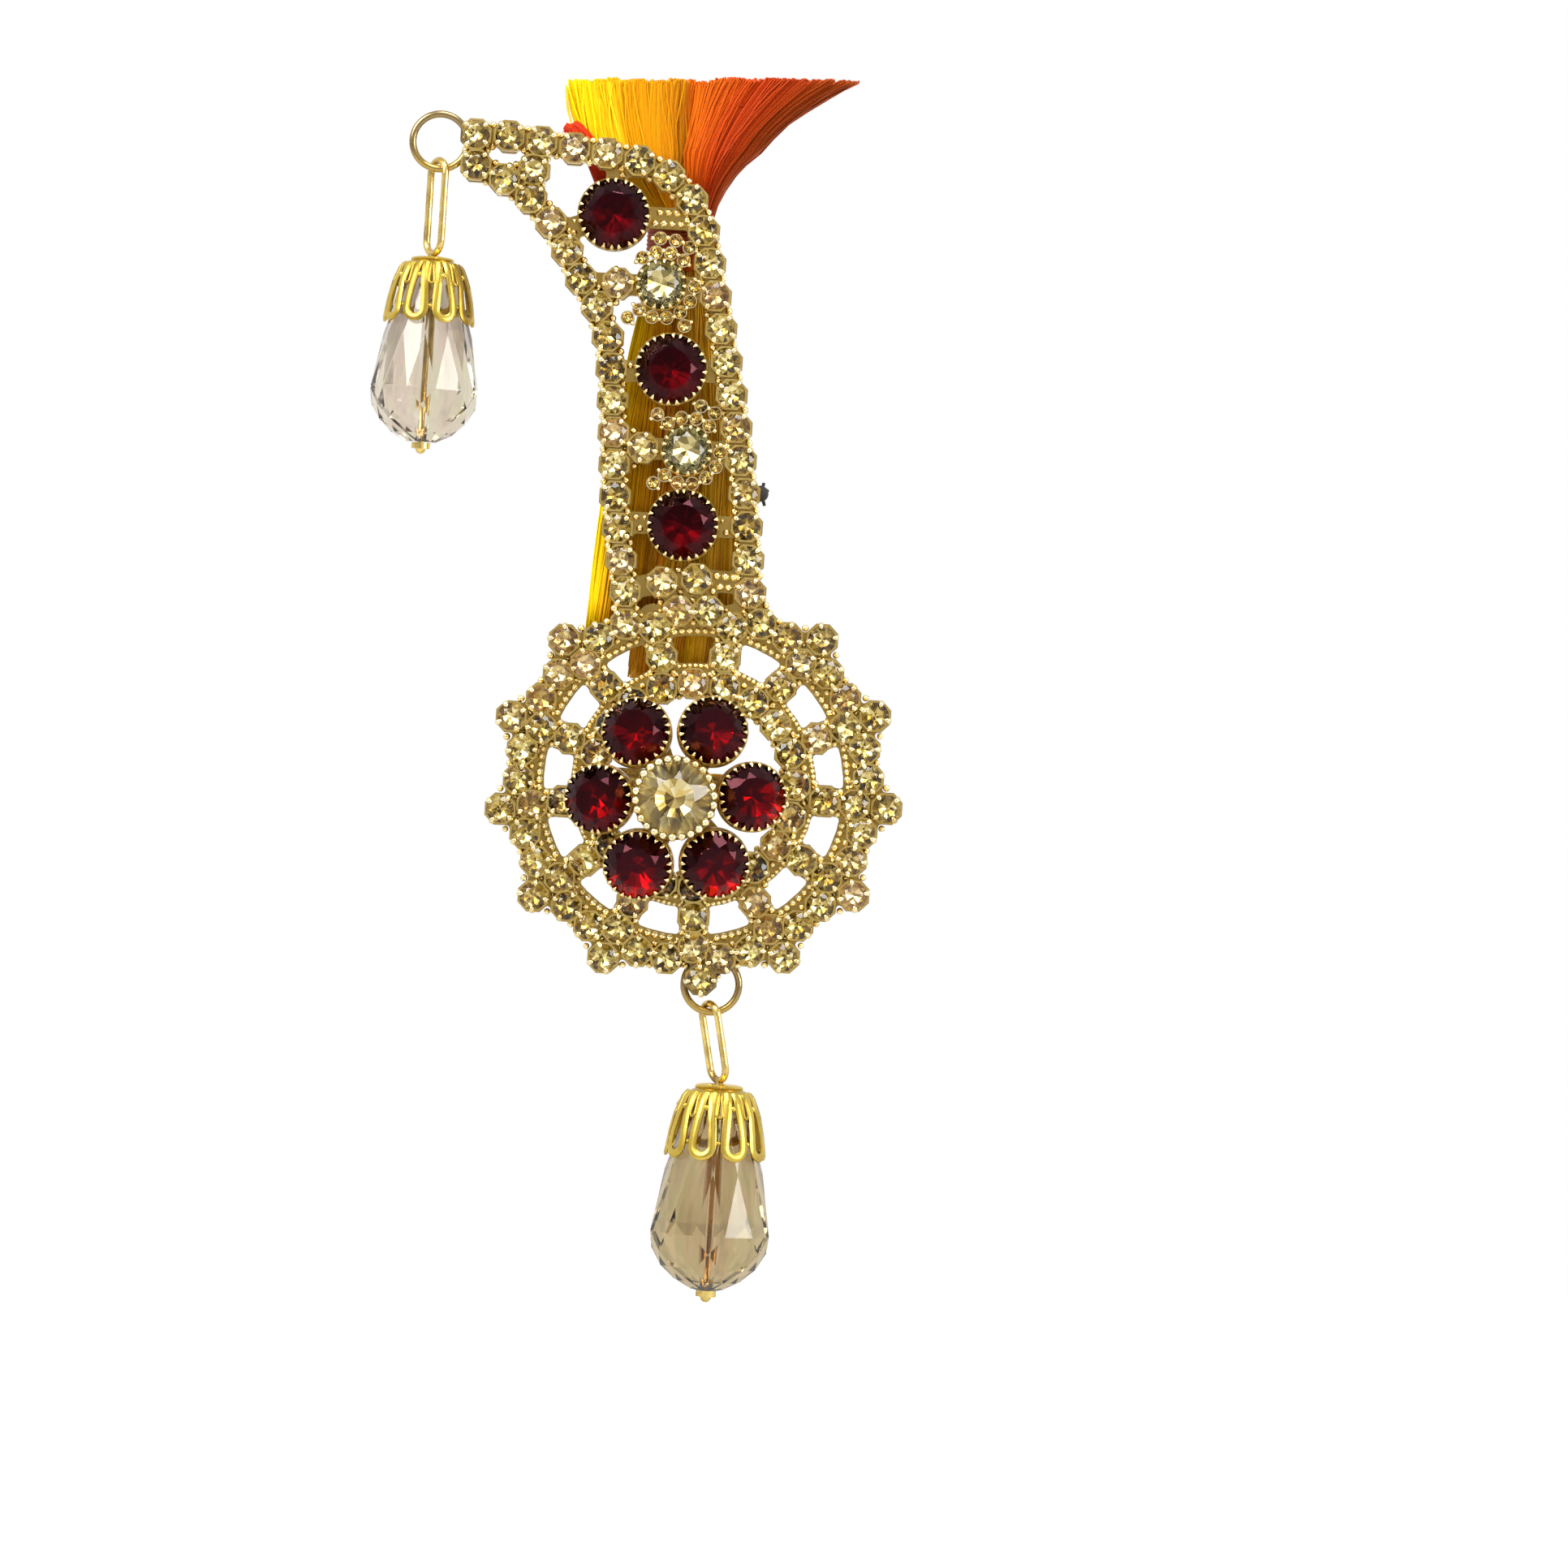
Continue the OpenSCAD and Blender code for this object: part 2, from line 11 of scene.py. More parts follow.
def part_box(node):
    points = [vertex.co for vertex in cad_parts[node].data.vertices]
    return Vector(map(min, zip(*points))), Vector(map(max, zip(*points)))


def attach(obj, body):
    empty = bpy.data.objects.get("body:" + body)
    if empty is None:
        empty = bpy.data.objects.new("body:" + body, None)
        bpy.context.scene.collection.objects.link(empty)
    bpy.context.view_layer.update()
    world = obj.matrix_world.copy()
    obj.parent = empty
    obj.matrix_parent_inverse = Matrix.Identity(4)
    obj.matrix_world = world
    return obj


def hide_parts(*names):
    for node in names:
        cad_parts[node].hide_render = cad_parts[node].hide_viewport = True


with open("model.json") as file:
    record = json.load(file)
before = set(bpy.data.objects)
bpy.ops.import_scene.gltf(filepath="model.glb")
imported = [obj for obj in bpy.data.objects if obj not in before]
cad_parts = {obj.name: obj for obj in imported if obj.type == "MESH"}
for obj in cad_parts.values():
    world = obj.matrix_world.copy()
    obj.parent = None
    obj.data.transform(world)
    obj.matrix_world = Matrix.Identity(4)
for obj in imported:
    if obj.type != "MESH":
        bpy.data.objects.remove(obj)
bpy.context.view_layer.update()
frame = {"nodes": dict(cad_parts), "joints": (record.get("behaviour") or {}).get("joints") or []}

MM = 0.001
HAND = random.Random(17)

# Flat pieces are worked out facing the viewer: x right, y up, z forward. FACE stands them up.
FACE = Matrix(((1, 0, 0, 0), (0, 0, -1, 0), (0, 1, 0, 0), (0, 0, 0, 1)))

# Camera and the width of the photograph at the ornament, in metres
VIEW_DISTANCE = 0.70
VIEW_CENTRE = (0.0100, 0.0008)
VIEW_WIDTH = 0.1739
VIEW_ROLL = math.radians(3.7)
FILM_WIDTH = 36.0

# Small stones: their nodes, their radius, their edge's height in the cup, and their depths over and under it
SMALL_NODES = ["rim_stones", "spoke_stones", "ring_stones", "inner_border_stones",
               "outer_border_stones", "bridge_stones"]
SMALL_R = 1.55
SMALL_SEAT = 1.27
SMALL_CROWN = 0.5
SMALL_BACK = 0.42

# A claw's rows: how far out and how high, then its half width, which CLAW_W scales, and half thickness
CLAW_W = 0.74
CLAW_ROWS = ((1.70, 1.1, 0.5, 0.15), (1.74, 1.9, 0.5, 0.16), (1.76, 2.45, 0.46, 0.17),
             (1.70, 2.80, 0.42, 0.17), (1.54, 3.02, 0.38, 0.17), (1.34, 3.09, 0.34, 0.16),
             (1.18, 3.06, 0.16, 0.08))

# Gold grains: the plate's thickness, circles along the medallion's openings, and the stem's bars
PLATE_T = 1.0
RIM_EDGE_R = 17.12
RING_EDGE_R = 13.28
STEM_BARS = [((-18.9, 60.2), (-12.8, 62.4)), ((-12.8, 62.4), (-3.2, 62.5)), ((-12.8, 62.4), (-12.8, 69)),
             ((-15.8, 54.8), (-1.2, 55)), ((-12, 45.2), (0.9, 45.9)), ((-11.2, 36.9), (2.7, 37)),
             ((-10.4, 28.6), (4, 28.8)), ((-8.9, 21.2), (-4.9, 22.2)), ((-4.9, 22.2), (-1.1, 22.8)),
             ((-1.1, 22.8), (4.7, 22.6)), ((-22, 66.8), (-22, 70)), ((-22, 66.8), (-22.4, 63.9))]

# Cups that are nearer to each other than NOTCH_REACH have a bead on either side of the joint
NOTCH_REACH = 3.9
NOTCH_SIDE = 1.22

# Beads lie in two rows on a bar, each BAR_ROW from its middle
BAR_ROW = 0.62
BAR_PITCH = 0.95

# Step of the beads along a circle, in radii, and their radius in each place. A SMALL_BEAD goes where
# the wanted one is too large.
BEAD_STEP = 2.05
RIM_BEAD = 0.42
RING_BEAD = 0.3
BAR_BEAD = 0.44
SMALL_BEAD = 0.27

# Distance from a small cup's middle that a bead's edge, a tiny stone's edge and a dot's middle keep
CUP_CLEAR = 1.72
COLLAR_CLEAR = 1.75
DOT_CLEAR = 2.0

# Side of a red stone whose facets are painted brighter, a painted glint, since the light comes in from the
# other side
GLINT_WAY = Vector((0.60, 0, -0.80))

# Collars of the clear stones: a tiny stone's radius, its cup's wall, the gap to the next one, how near an
# outer stone stands to an inner one, its gap to a red cup, and the step and height of each row
COLLAR_R = 0.66
COLLAR_WALL = 0.12
COLLAR_GAP = 0.32
COLLAR_NEAR = 1.7
COLLAR_RED_GAP = 0.15
COLLAR_ROWS = ((0, 0.75), (1.5, 0.62))

# Large stones: the stem's settings, a toothed cup's wall and floor, the gap inside it, and its teeth
RED_SETTINGS = [f"red_setting_{i}" for i in (1, 2, 3)]
CLEAR_SETTINGS = [f"clear_setting_{i}" for i in (1, 2)]
CUP_WALL = 0.18
CUP_FLOOR = 0.5
STONE_GAP = 0.08
TOOTH_PITCH = 1.06

# Flower: the petals' lean and turn in degrees, their places and width, the pegs, and the centre's beads
PETAL_LEAN = 12
PETAL_TURN = 4.4
PETAL_R = 8.1
PETAL_Z = 5.3
PETAL_W = 7.8
PETAL_PEG = 0.95
CENTRE_PEG = 4.5
CENTRE_BEADS = 26
CENTRE_BEAD = 0.47

# Drops, their caps as (height, radius), and the wire rings that carry them
CAP_H = 8.2
CAP_LOOPS = 9
BELL_ROWS = ((0, 2.5), (-0.4, 3.0), (-1.2, 3.8), (-3.2, 4.6), (-5.4, 5.1), (-CAP_H, 5.5))
CRYSTAL_R = 6.8
CRYSTAL_L = 22.7
CRYSTAL_SIDES = 12
BORE_R = 0.5
RING_R = 3.05

# Plume: where it is cut off, the middle of its tied neck, how far to the side and up its locks start,
# the outer locks' widths at the root, the bend and the end, and how many rows make up a half
PLUME_TOP = 79
CUT_RISE = -0.2
NECK = (-5.2, 4.2, 60.6)
HALF_X = 1.7
LOCK_START = 2.3
FAN_WIDTHS = (1.9, 5.0, 3.2)
FAN_ROWS = 11

# Radius of a strand, and the number in each half of the plume, in its neck's half and in a hanging tail
STRAND_R = 0.1
FAN_STRANDS = 2300
FAN_CLUMPS = 58
NECK_STRANDS = 150
TAIL_STRANDS = 170

# Short thick ends that fill each half's cut top
CUT_ENDS = 460
CUT_END_R = 0.25

# Height and radius of the tied neck's rows, from its middle
NECK_ROWS = ((-3.5, 2.0), (-3.1, 2.5), (-2.5, 2.9), (-1.7, 3.1), (1.7, 3.1), (2.4, 2.8), (2.9, 2.4),
             (3.3, 1.7))

# Stage: the floor's height and half its width, in metres
FLOOR_Z = -0.095
FLOOR_HALF = 0.6


def mix(a, b, t):
    return a + (b - a) * t


def ease(t):
    return t * t * (3 - 2 * t)


def turns(count, shift=0.0):
    """Angles of equal steps round a circle. shift is a share of a step."""
    return [(k + shift) * math.tau / count for k in range(count)]


class Shape:
    """Faces in millimetres, gathered from small shapes and made into one piece in metres."""

    def __init__(self):
        self.points, self.faces, self.finishes = [], [], []
        self.marks = {}

    def add(self, shape, place=None, look=0, **marks):
        """Adds a shape. look is the number of its finish, and marks are values on its points."""
        points, faces = shape
        start = len(self.points)
        self.points += [place @ Vector(p) for p in points] if place else [Vector(p) for p in points]
        self.faces += [[start + i for i in f] for f in faces]
        self.finishes += [look] * len(faces)
        for name, value in marks.items():
            values = self.marks.setdefault(name, [0.0] * start)
            values += value if isinstance(value, list) else [value] * len(points)
        return self

    def piece(self, name, finishes, body, *nodes, slot=None, sharp=None):
        mesh = bpy.data.meshes.new(name)
        mesh.from_pydata([p * MM for p in self.points], [], self.faces)
        for look in finishes:
            mesh.materials.append(look)
        mesh.polygons.foreach_set("material_index", self.finishes)
        mesh.polygons.foreach_set("use_smooth", [sharp is not None] * len(self.faces))
        for label, values in self.marks.items():
            mesh.attributes.new(label, "FLOAT", "POINT").data.foreach_set("value", values)
        mesh.update()
        if sharp:
            mesh.set_sharp_from_angle(angle=math.radians(sharp))
        made = bpy.data.objects.new(name, mesh)
        bpy.context.scene.collection.objects.link(made)
        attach(made, body)
        if nodes:
            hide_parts(*nodes)
        return made


def paint_facet_glints(made, spread, glint_spot=None):
    """Gives each facet a value of its own, which the foil and glass colours read as painted glints, so that
    no two facets take the light alike.

    The last argument is a stone's centre and radius in millimetres: its facets get a painted glint, brighter
    at the lower right."""
    # Painted glints: a random brightness for each facet
    values = [HAND.random() ** spread for _ in made.data.polygons]
    if glint_spot:
        centre, radius = glint_spot
        # Painted glint: facets towards the stone's lower right are made brighter
        for i, facet in enumerate(made.data.polygons):
            share = 0.5 + 0.75 * (facet.center / MM - centre).dot(GLINT_WAY) / radius
            share = min(1, max(0, share))
            values[i] = min(1, values[i] * mix(0.45, 1, share) + 0.7 * share * share)
    made.data.attributes.new("facet", "FLOAT", "FACE").data.foreach_set("value", values)


# Shapes that are built up into pieces

def turned(profile, steps=32):
    """A profile of (radius, height) turned about Z. A radius of zero closes it."""
    points, faces, rows = [], [], []
    for radius, height in profile:
        count = 1 if radius == 0 else steps
        rows.append([len(points) + i for i in range(count)])
        points += [(radius * math.cos(turn), radius * math.sin(turn), height)
                   for turn in turns(steps)[:count]]
    for low, high in zip(rows, rows[1:]):
        for i in range(steps):
            j = (i + 1) % steps
            corners = [low[i % len(low)], low[j % len(low)], high[j % len(high)], high[i % len(high)]]
            face = list(dict.fromkeys(corners))
            if len(face) > 2:
                faces.append(face)
    return points, faces


def skin(rows, sides, mirrored=False):
    """Faces of a tube with closed ends, whose points lie row after row.

    mirrored is for rows whose points run the other way round."""
    faces = [[row * sides + k, row * sides + (k + 1) % sides, (row + 1) * sides + (k + 1) % sides,
              (row + 1) * sides + k] for row in range(rows - 1) for k in range(sides)]
    faces += [list(range(sides))[::-1], [(rows - 1) * sides + k for k in range(sides)]]
    return [face[:1] + face[:0:-1] for face in faces] if mirrored else faces


def swept(path, half_widths, half_depths, across, sides=8):
    """A rounded bar along a path. across is the direction of its width."""
    points = []
    path = [Vector(p) for p in path]
    across = Vector(across).normalized()
    last = len(path) - 1
    for i, spot in enumerate(path):
        along = (path[min(i + 1, last)] - path[max(i - 1, 0)]).normalized()
        side = (across - across.dot(along) * along).normalized()
        deep = along.cross(side)
        for turn in turns(sides, 0.5):
            points.append(spot + side * half_widths[i] * math.cos(turn)
                          + deep * half_depths[i] * math.sin(turn))
    return points, skin(len(path), sides)


def wire(path, radius, sides=10, closed=False):
    """Round wire along a path, its section carried along without twist."""
    path = [Vector(p) for p in path]
    count = len(path)
    points = []
    side = None
    for i, spot in enumerate(path):
        ahead = path[(i + 1) % count] if closed else path[min(i + 1, count - 1)]
        behind = path[i - 1] if closed or i else path[0]
        along = (ahead - behind).normalized()
        if side is None:
            side = along.orthogonal().normalized()
        side = (side - side.dot(along) * along).normalized()
        deep = along.cross(side)
        for turn in turns(sides):
            points.append(spot + radius * (side * math.cos(turn) + deep * math.sin(turn)))
    faces = skin(count, sides)
    if closed:
        # The last row meets the first one, at the corner that lies nearest, and there are no ends
        last = (count - 1) * sides
        shift = min(range(sides), key=lambda s: (points[last] - points[s]).length)
        joint = [[last + k, last + (k + 1) % sides, (k + 1 + shift) % sides, (k + shift) % sides]
                 for k in range(sides)]
        faces = faces[:-2] + joint
    return points, faces


def bead(radius, steps=10):
    rows = steps // 2
    profile = [(radius * math.sin(math.pi * i / rows), -radius * math.cos(math.pi * i / rows))
               for i in range(rows + 1)]
    profile[0], profile[-1] = (0, -radius), (0, radius)
    return turned(profile, steps)


def cut_stone(sides, radius, crown, pavilion, table=0.58, girdle=0.12):
    """A stone cut with table, stars, kites and girdle facets over a pointed back in three rows.

    The girdle's upper edge is at height 0. Returns its points twice, once with the faces of the crown
    and once with those of the back."""
    step = math.tau / sides
    table_r, star_r = radius * table, radius * mix(table, 1, 0.42)
    star_z = crown * (radius - star_r * math.cos(step / 2)) / (radius - table_r)
    deep_r = radius * 0.55
    deep_z = -girdle - pavilion * (1 - deep_r * math.cos(step / 2) / radius)

    def ring(count, ring_r, height, shift=0.0):
        return [(ring_r * math.cos(turn), ring_r * math.sin(turn), height) for turn in turns(count, shift)]

    points = ring(sides, table_r, crown) + ring(sides, star_r, star_z, 0.5)
    points += ring(2 * sides, radius, 0) + ring(2 * sides, radius, -girdle)
    points += ring(sides, deep_r, deep_z, 0.5) + ring(sides, radius * 0.27, -girdle - pavilion * 0.78)
    points.append((0, 0, -girdle - pavilion))
    top, star, upper, lower, deep, core, culet = (k * sides for k in (0, 1, 2, 4, 6, 7, 8))
    crown_faces = [list(range(sides))]
    back_faces = []
    for i in range(sides):
        n, before = (i + 1) % sides, (i - 1) % sides
        here, half, ahead = 2 * i, 2 * i + 1, (2 * i + 2) % (2 * sides)
        crown_faces += [[top + i, star + i, top + n], [top + i, star + before, upper + here, star + i],
                        [star + i, upper + here, upper + half], [star + i, upper + half, upper + ahead]]
        back_faces += [[upper + here, lower + here, lower + half, upper + half],
                       [upper + half, lower + half, lower + ahead, upper + ahead]]
        back_faces += [[lower + here, deep + i, lower + half], [lower + half, deep + i, lower + ahead],
                       [core + i, deep + i, lower + here, deep + before], [deep + i, core + i, core + n],
                       [core + n, core + i, culet]]
    return (points, crown_faces), (points, back_faces)


def add_stone(shape, stone, place):
    """Adds a cut stone as one closed body: finish 0 on its crown, finish 1 on its foiled back."""
    (points, crown_faces), (_, back_faces) = stone
    start = len(shape.points)
    shape.add((points, crown_faces), place, 0)
    shape.faces += [[start + i for i in f] for f in back_faces]
    shape.finishes += [1] * len(back_faces)


# Finishes

def put(tree, kind, **values):
    """Adds a node. A value is a number, a colour or another node's output."""
    made = tree.nodes.new("ShaderNode" + kind)
    for name, value in values.items():
        label = name.replace("_", " ")
        if label not in made.inputs:
            setattr(made, name, value)
        elif isinstance(value, bpy.types.NodeSocket):
            tree.links.new(value, made.inputs[label])
        else:
            made.inputs[label].default_value = value
    return made


def ramp(tree, factor, stops):
    made = put(tree, "ValToRGB", Fac=factor)
    while len(made.color_ramp.elements) < len(stops):
        made.color_ramp.elements.new(0.5)
    for element, (place, colour) in zip(made.color_ramp.elements, stops):
        element.position = place
        element.color = (*colour, 1)
    return made.outputs["Color"]


def blend(tree, factor, a, b):
    """Mixes two colours, each a colour or an output."""
    made = tree.nodes.new("ShaderNodeMix")
    made.data_type = "RGBA"
    for socket, value in ((made.inputs[0], factor), (made.inputs[6], a), (made.inputs[7], b)):
        if isinstance(value, bpy.types.NodeSocket):
            tree.links.new(value, socket)
        else:
            socket.default_value = value
    return made.outputs[2]


def mark(tree, name):
    """A value that a piece carries on its points or faces."""
    return put(tree, "Attribute", attribute_name=name).outputs["Fac"]


def object_place(tree):
    return put(tree, "TexCoord").outputs["Object"]


def noise(tree, place, scale, detail=3.0, roughness=0.5):
    made = put(tree, "TexNoise", Vector=place, Scale=scale, Detail=detail, Roughness=roughness)
    return made.outputs["Fac"]


def fade(tree, value, start, end, low=0.0, high=1.0):
    """Goes from low to high while the value goes from start to end."""
    made = put(tree, "MapRange", Value=value, From_Min=start, From_Max=end, To_Min=low, To_Max=high)
    return made.outputs[0]


def times(tree, a, b):
    made = put(tree, "Math", operation="MULTIPLY")
    tree.links.new(a, made.inputs[0])
    tree.links.new(b, made.inputs[1])
    return made.outputs[0]


def feed(tree, inputs, **sources):
    """Leads outputs into the inputs of the same names."""
    for label, source in sources.items():
        tree.links.new(source, inputs[label.replace("_", " ")])


def group(name, inputs, outputs):
    tree = bpy.data.node_groups.new(name, "ShaderNodeTree")
    for label, kind, value in inputs:
        tree.interface.new_socket(name=label, in_out="INPUT", socket_type=kind).default_value = value
    for label, kind in outputs:
        tree.interface.new_socket(name=label, in_out="OUTPUT", socket_type=kind)
    return tree, tree.nodes.new("NodeGroupInput").outputs, tree.nodes.new("NodeGroupOutput").inputs


COLOUR, NUMBER = "NodeSocketColor", "NodeSocketFloat"


def plating_group():
    """Plating that is a little uneven: clean on top, darker in spots, with fine casting grain."""
    tree, given, result = group("plating", [("Clean", COLOUR, (1, 1, 1, 1)), ("Dull", COLOUR, (0, 0, 0, 1)),
                                            ("Spot Scale", NUMBER, 300), ("Grain Scale", NUMBER, 3000),
                                            ("Smooth", NUMBER, 0.1), ("Rough", NUMBER, 0.3)],
                                [("Colour", COLOUR), ("Roughness", NUMBER), ("Height", NUMBER)])
    place = object_place(tree)
    spots = noise(tree, place, given["Spot Scale"], 4.0, 0.6)
    feed(tree, result, Colour=blend(tree, fade(tree, spots, 0.42, 0.68), given["Clean"], given["Dull"]),
         Roughness=fade(tree, spots, 0.3, 0.7, given["Smooth"], given["Rough"]),
         Height=noise(tree, place, given["Grain Scale"]))
    return tree


def foil_group():
    """Colour of a stone's foil back: from facet to facet it follows the painted glints, and from stone to
    stone it differs at random.
    """
    tree, given, result = group("foil", [("Dark", COLOUR, (0, 0, 0, 1)),
                                         ("Middle", COLOUR, (0.5, 0.5, 0.5, 1)),
                                         ("Light", COLOUR, (1, 1, 1, 1)), ("Stray", COLOUR, (1, 1, 1, 1))],
                                [("Colour", COLOUR)])
    facet = mark(tree, "facet")
    stone = put(tree, "NewGeometry").outputs["Random Per Island"]
    # Painted glints: each facet's value picks darker or lighter foil
    colour = blend(tree, fade(tree, facet, 0.05, 0.5), given["Dark"], given["Middle"])
    colour = blend(tree, fade(tree, facet, 0.5, 0.95), colour, given["Light"])
    feed(tree, result, Colour=blend(tree, fade(tree, stone, 0.6, 1.0, 0.0, 0.6), colour, given["Stray"]))
    return tree


def strand_group():
    """Streaks of fine silk: each strand has its own shade, and the floss darkens towards its root, a painted
    shade where it is gathered at the neck.
    """
    tree, given, result = group("strands", [("Left", COLOUR, (1, 1, 0, 1)),
                                            ("Middle", COLOUR, (1, 0.5, 0, 1)),
                                            ("Right", COLOUR, (0.3, 0, 0, 1)), ("Depth", NUMBER, 0.5)],
                                [("Colour", COLOUR), ("Height", NUMBER)])
    across, along, shade = (mark(tree, name) for name in ("across", "along", "shade"))
    # The colours run from Left to Right, darker at the right: partly the floss's own colour, partly painted
    # shade on the side away from the light
    colour = blend(tree, fade(tree, across, 0.0, 0.5), given["Left"], given["Middle"])
    colour = blend(tree, fade(tree, across, 0.5, 1.0), colour, given["Right"])
    darker = times(tree, given["Depth"], fade(tree, shade, 0.0, 1.0, 1.0, 0.0))
    # Painted shade: darker towards the root, where the floss is gathered into the tied neck
    root = ramp(tree, along, [(0.0, (0.25, 0.12, 0.08)), (0.35, (0.8, 0.65, 0.6)), (1.0, (0.75, 0.6, 0.5))])
    deep = put(tree, "Mix", data_type="RGBA", blend_type="MULTIPLY")
    for socket, source in ((0, darker), (6, colour), (7, root)):
        tree.links.new(source, deep.inputs[socket])
    line = put(tree, "CombineXYZ", X=across, Z=along)
    streaks = put(tree, "Mapping", Vector=line.outputs[0], Scale=(140, 1, 2))
    feed(tree, result, Colour=deep.outputs[2], Height=noise(tree, streaks.outputs[0], 1.0))
    return tree


PLATING, FOIL, STRANDS = plating_group(), foil_group(), strand_group()

# Height of the plating's grain, in metres
GRAIN_DEPTH = 0.00003


def finish(name, **values):
    """A material with its Principled shader's plain values set on the shader itself."""
    made = bpy.data.materials.new(name)
    made.use_nodes = True
    shader = made.node_tree.nodes["Principled BSDF"]
    for label, value in values.items():
        shader.inputs[label.replace("_", " ")].default_value = value
    return made, made.node_tree, shader


def placed(tree, shared, **values):
    """Places a shared effect in a material, with values of its own."""
    made = tree.nodes.new("ShaderNodeGroup")
    made.node_tree = shared
    for label, value in values.items():
        made.inputs[label.replace("_", " ")].default_value = value
    return made.outputs


def raised(tree, height, shader, strength, distance):
    """Gives a surface relief. distance is in metres."""
    bump = put(tree, "Bump", Height=height, Strength=strength, Distance=distance)
    tree.links.new(bump.outputs[0], shader.inputs["Normal"])


def plated(name, clean, dull, smooth, rough):
    """Plated metal, clean on top and duller in spots."""
    made, tree, shader = finish(name, Metallic=1.0)
    plating = placed(tree, PLATING, Clean=(*clean, 1), Dull=(*dull, 1), Smooth=smooth, Rough=rough)
    feed(tree, shader.inputs, Base_Color=plating["Colour"], Roughness=plating["Roughness"])
    raised(tree, plating["Height"], shader, 0.2, GRAIN_DEPTH)
    return made


def plate_gold():
    """The cast plate: bright on the cups' tops and darker brown low down, a painted shade in the recesses;
    darker wire on the rings.
    """
    made, tree, shader = finish("plate_gold", Metallic=1.0)
    plating = placed(tree, PLATING, Clean=(0.90, 0.69, 0.25, 1), Dull=(0.54, 0.37, 0.10, 1), Smooth=0.14,
                     Rough=0.34)
    place = object_place(tree)
    split = put(tree, "SeparateXYZ", Vector=place).outputs
    # Painted shade: the plating darkens from the cups' tops down towards the plate's face, where shade falls
    # between the cups
    low = fade(tree, split["Y"], -0.0024, -0.0012)
    colour = blend(tree, low, plating["Colour"], (0.50, 0.35, 0.10, 1))
    # Each ring's wire, from a little above its lowest point
    for joint in frame["joints"]:
        x, y, z = joint["pos_m"]
        near = put(tree, "VectorMath", operation="DISTANCE")
        tree.links.new(place, near.inputs[0])
        near.inputs[1].default_value = (x, y, z + RING_R * MM)
        ring = fade(tree, near.outputs["Value"], 0.0037, 0.0034)
        foot = fade(tree, split["Z"], z + 0.0006, z + 0.0024)
        colour = blend(tree, times(tree, ring, foot), colour, (0.34, 0.25, 0.12, 1))
    feed(tree, shader.inputs, Base_Color=colour, Roughness=plating["Roughness"])
    raised(tree, plating["Height"], shader, 0.25, GRAIN_DEPTH)
    return made


def glass(name, colour, shaded, ior=1.52, sheen=(1, 1, 1)):
    """Clear glass. Some facets are darker, a painted shade set by each facet's painted glint value."""
    made, tree, shader = finish(name, IOR=ior, Transmission_Weight=1.0, Specular_Tint=(*sheen, 1))
    # Painted shade: facets with low values take the shaded colour
    shown = fade(tree, mark(tree, "facet"), 0.15, 0.6)
    scuffs = fade(tree, noise(tree, object_place(tree), 220.0, 2.0), 0.5, 0.8, 0.0, 0.04)
    feed(tree, shader.inputs, Base_Color=blend(tree, shown, (*shaded, 1), (*colour, 1)), Roughness=scuffs)
    return made


def crystal(name, dark, rose, green, pale):
    """Pale glass whose tint wavers in long upright streaks."""
    made, tree, shader = finish(name, IOR=1.5, Transmission_Weight=1.0, Roughness=0.06)
    long = put(tree, "Mapping", Vector=object_place(tree), Scale=(420, 420, 30))
    streaks = noise(tree, long.outputs[0], 1.0)
    # The tint is partly the glass's own, partly painted: its beige tone and darker streaks stand for the
    # surroundings seen through the glass
    tint = ramp(tree, streaks, [(0.32, dark), (0.45, rose), (0.55, green), (0.68, pale)])
    feed(tree, shader.inputs, Base_Color=tint)
    return made


def foil(name, dark, middle, light, stray, roughness=0.12):
    """Foil on a stone's back, from its darkest facets to its lightest as painted glints, and the colour of a
    stray stone.
    """
    made, tree, shader = finish(name, Metallic=1.0, Roughness=roughness)
    colour = placed(tree, FOIL, Dark=(*dark, 1), Middle=(*middle, 1), Light=(*light, 1), Stray=(*stray, 1))
    feed(tree, shader.inputs, Base_Color=colour["Colour"])
    return made


def silk(name, left, middle, right, depth=0.6):
    """Silk floss with its colours from side to side. depth is how much darker some strands are."""
    made, tree, shader = finish(name, Roughness=0.5, Specular_IOR_Level=0.12, Sheen_Weight=0.03)
    strands = placed(tree, STRANDS, Left=(*left, 1), Middle=(*middle, 1), Right=(*right, 1), Depth=depth)
    feed(tree, shader.inputs, Base_Color=strands["Colour"])
    raised(tree, strands["Height"], shader, 0.5, 0.0001)
    return made


def thread(name, colour, dark, fuzz):
    """Twisted thread with fine fibres."""
    made, tree, shader = finish(name, Roughness=0.7, Sheen_Weight=fuzz)
    fibres = noise(tree, object_place(tree), 4000.0)
    feed(tree, shader.inputs, Base_Color=blend(tree, fibres, (*dark, 1), (*colour, 1)))
    raised(tree, fibres, shader, 0.6, 0.00008)
    return made


PLATE_GOLD = plate_gold()
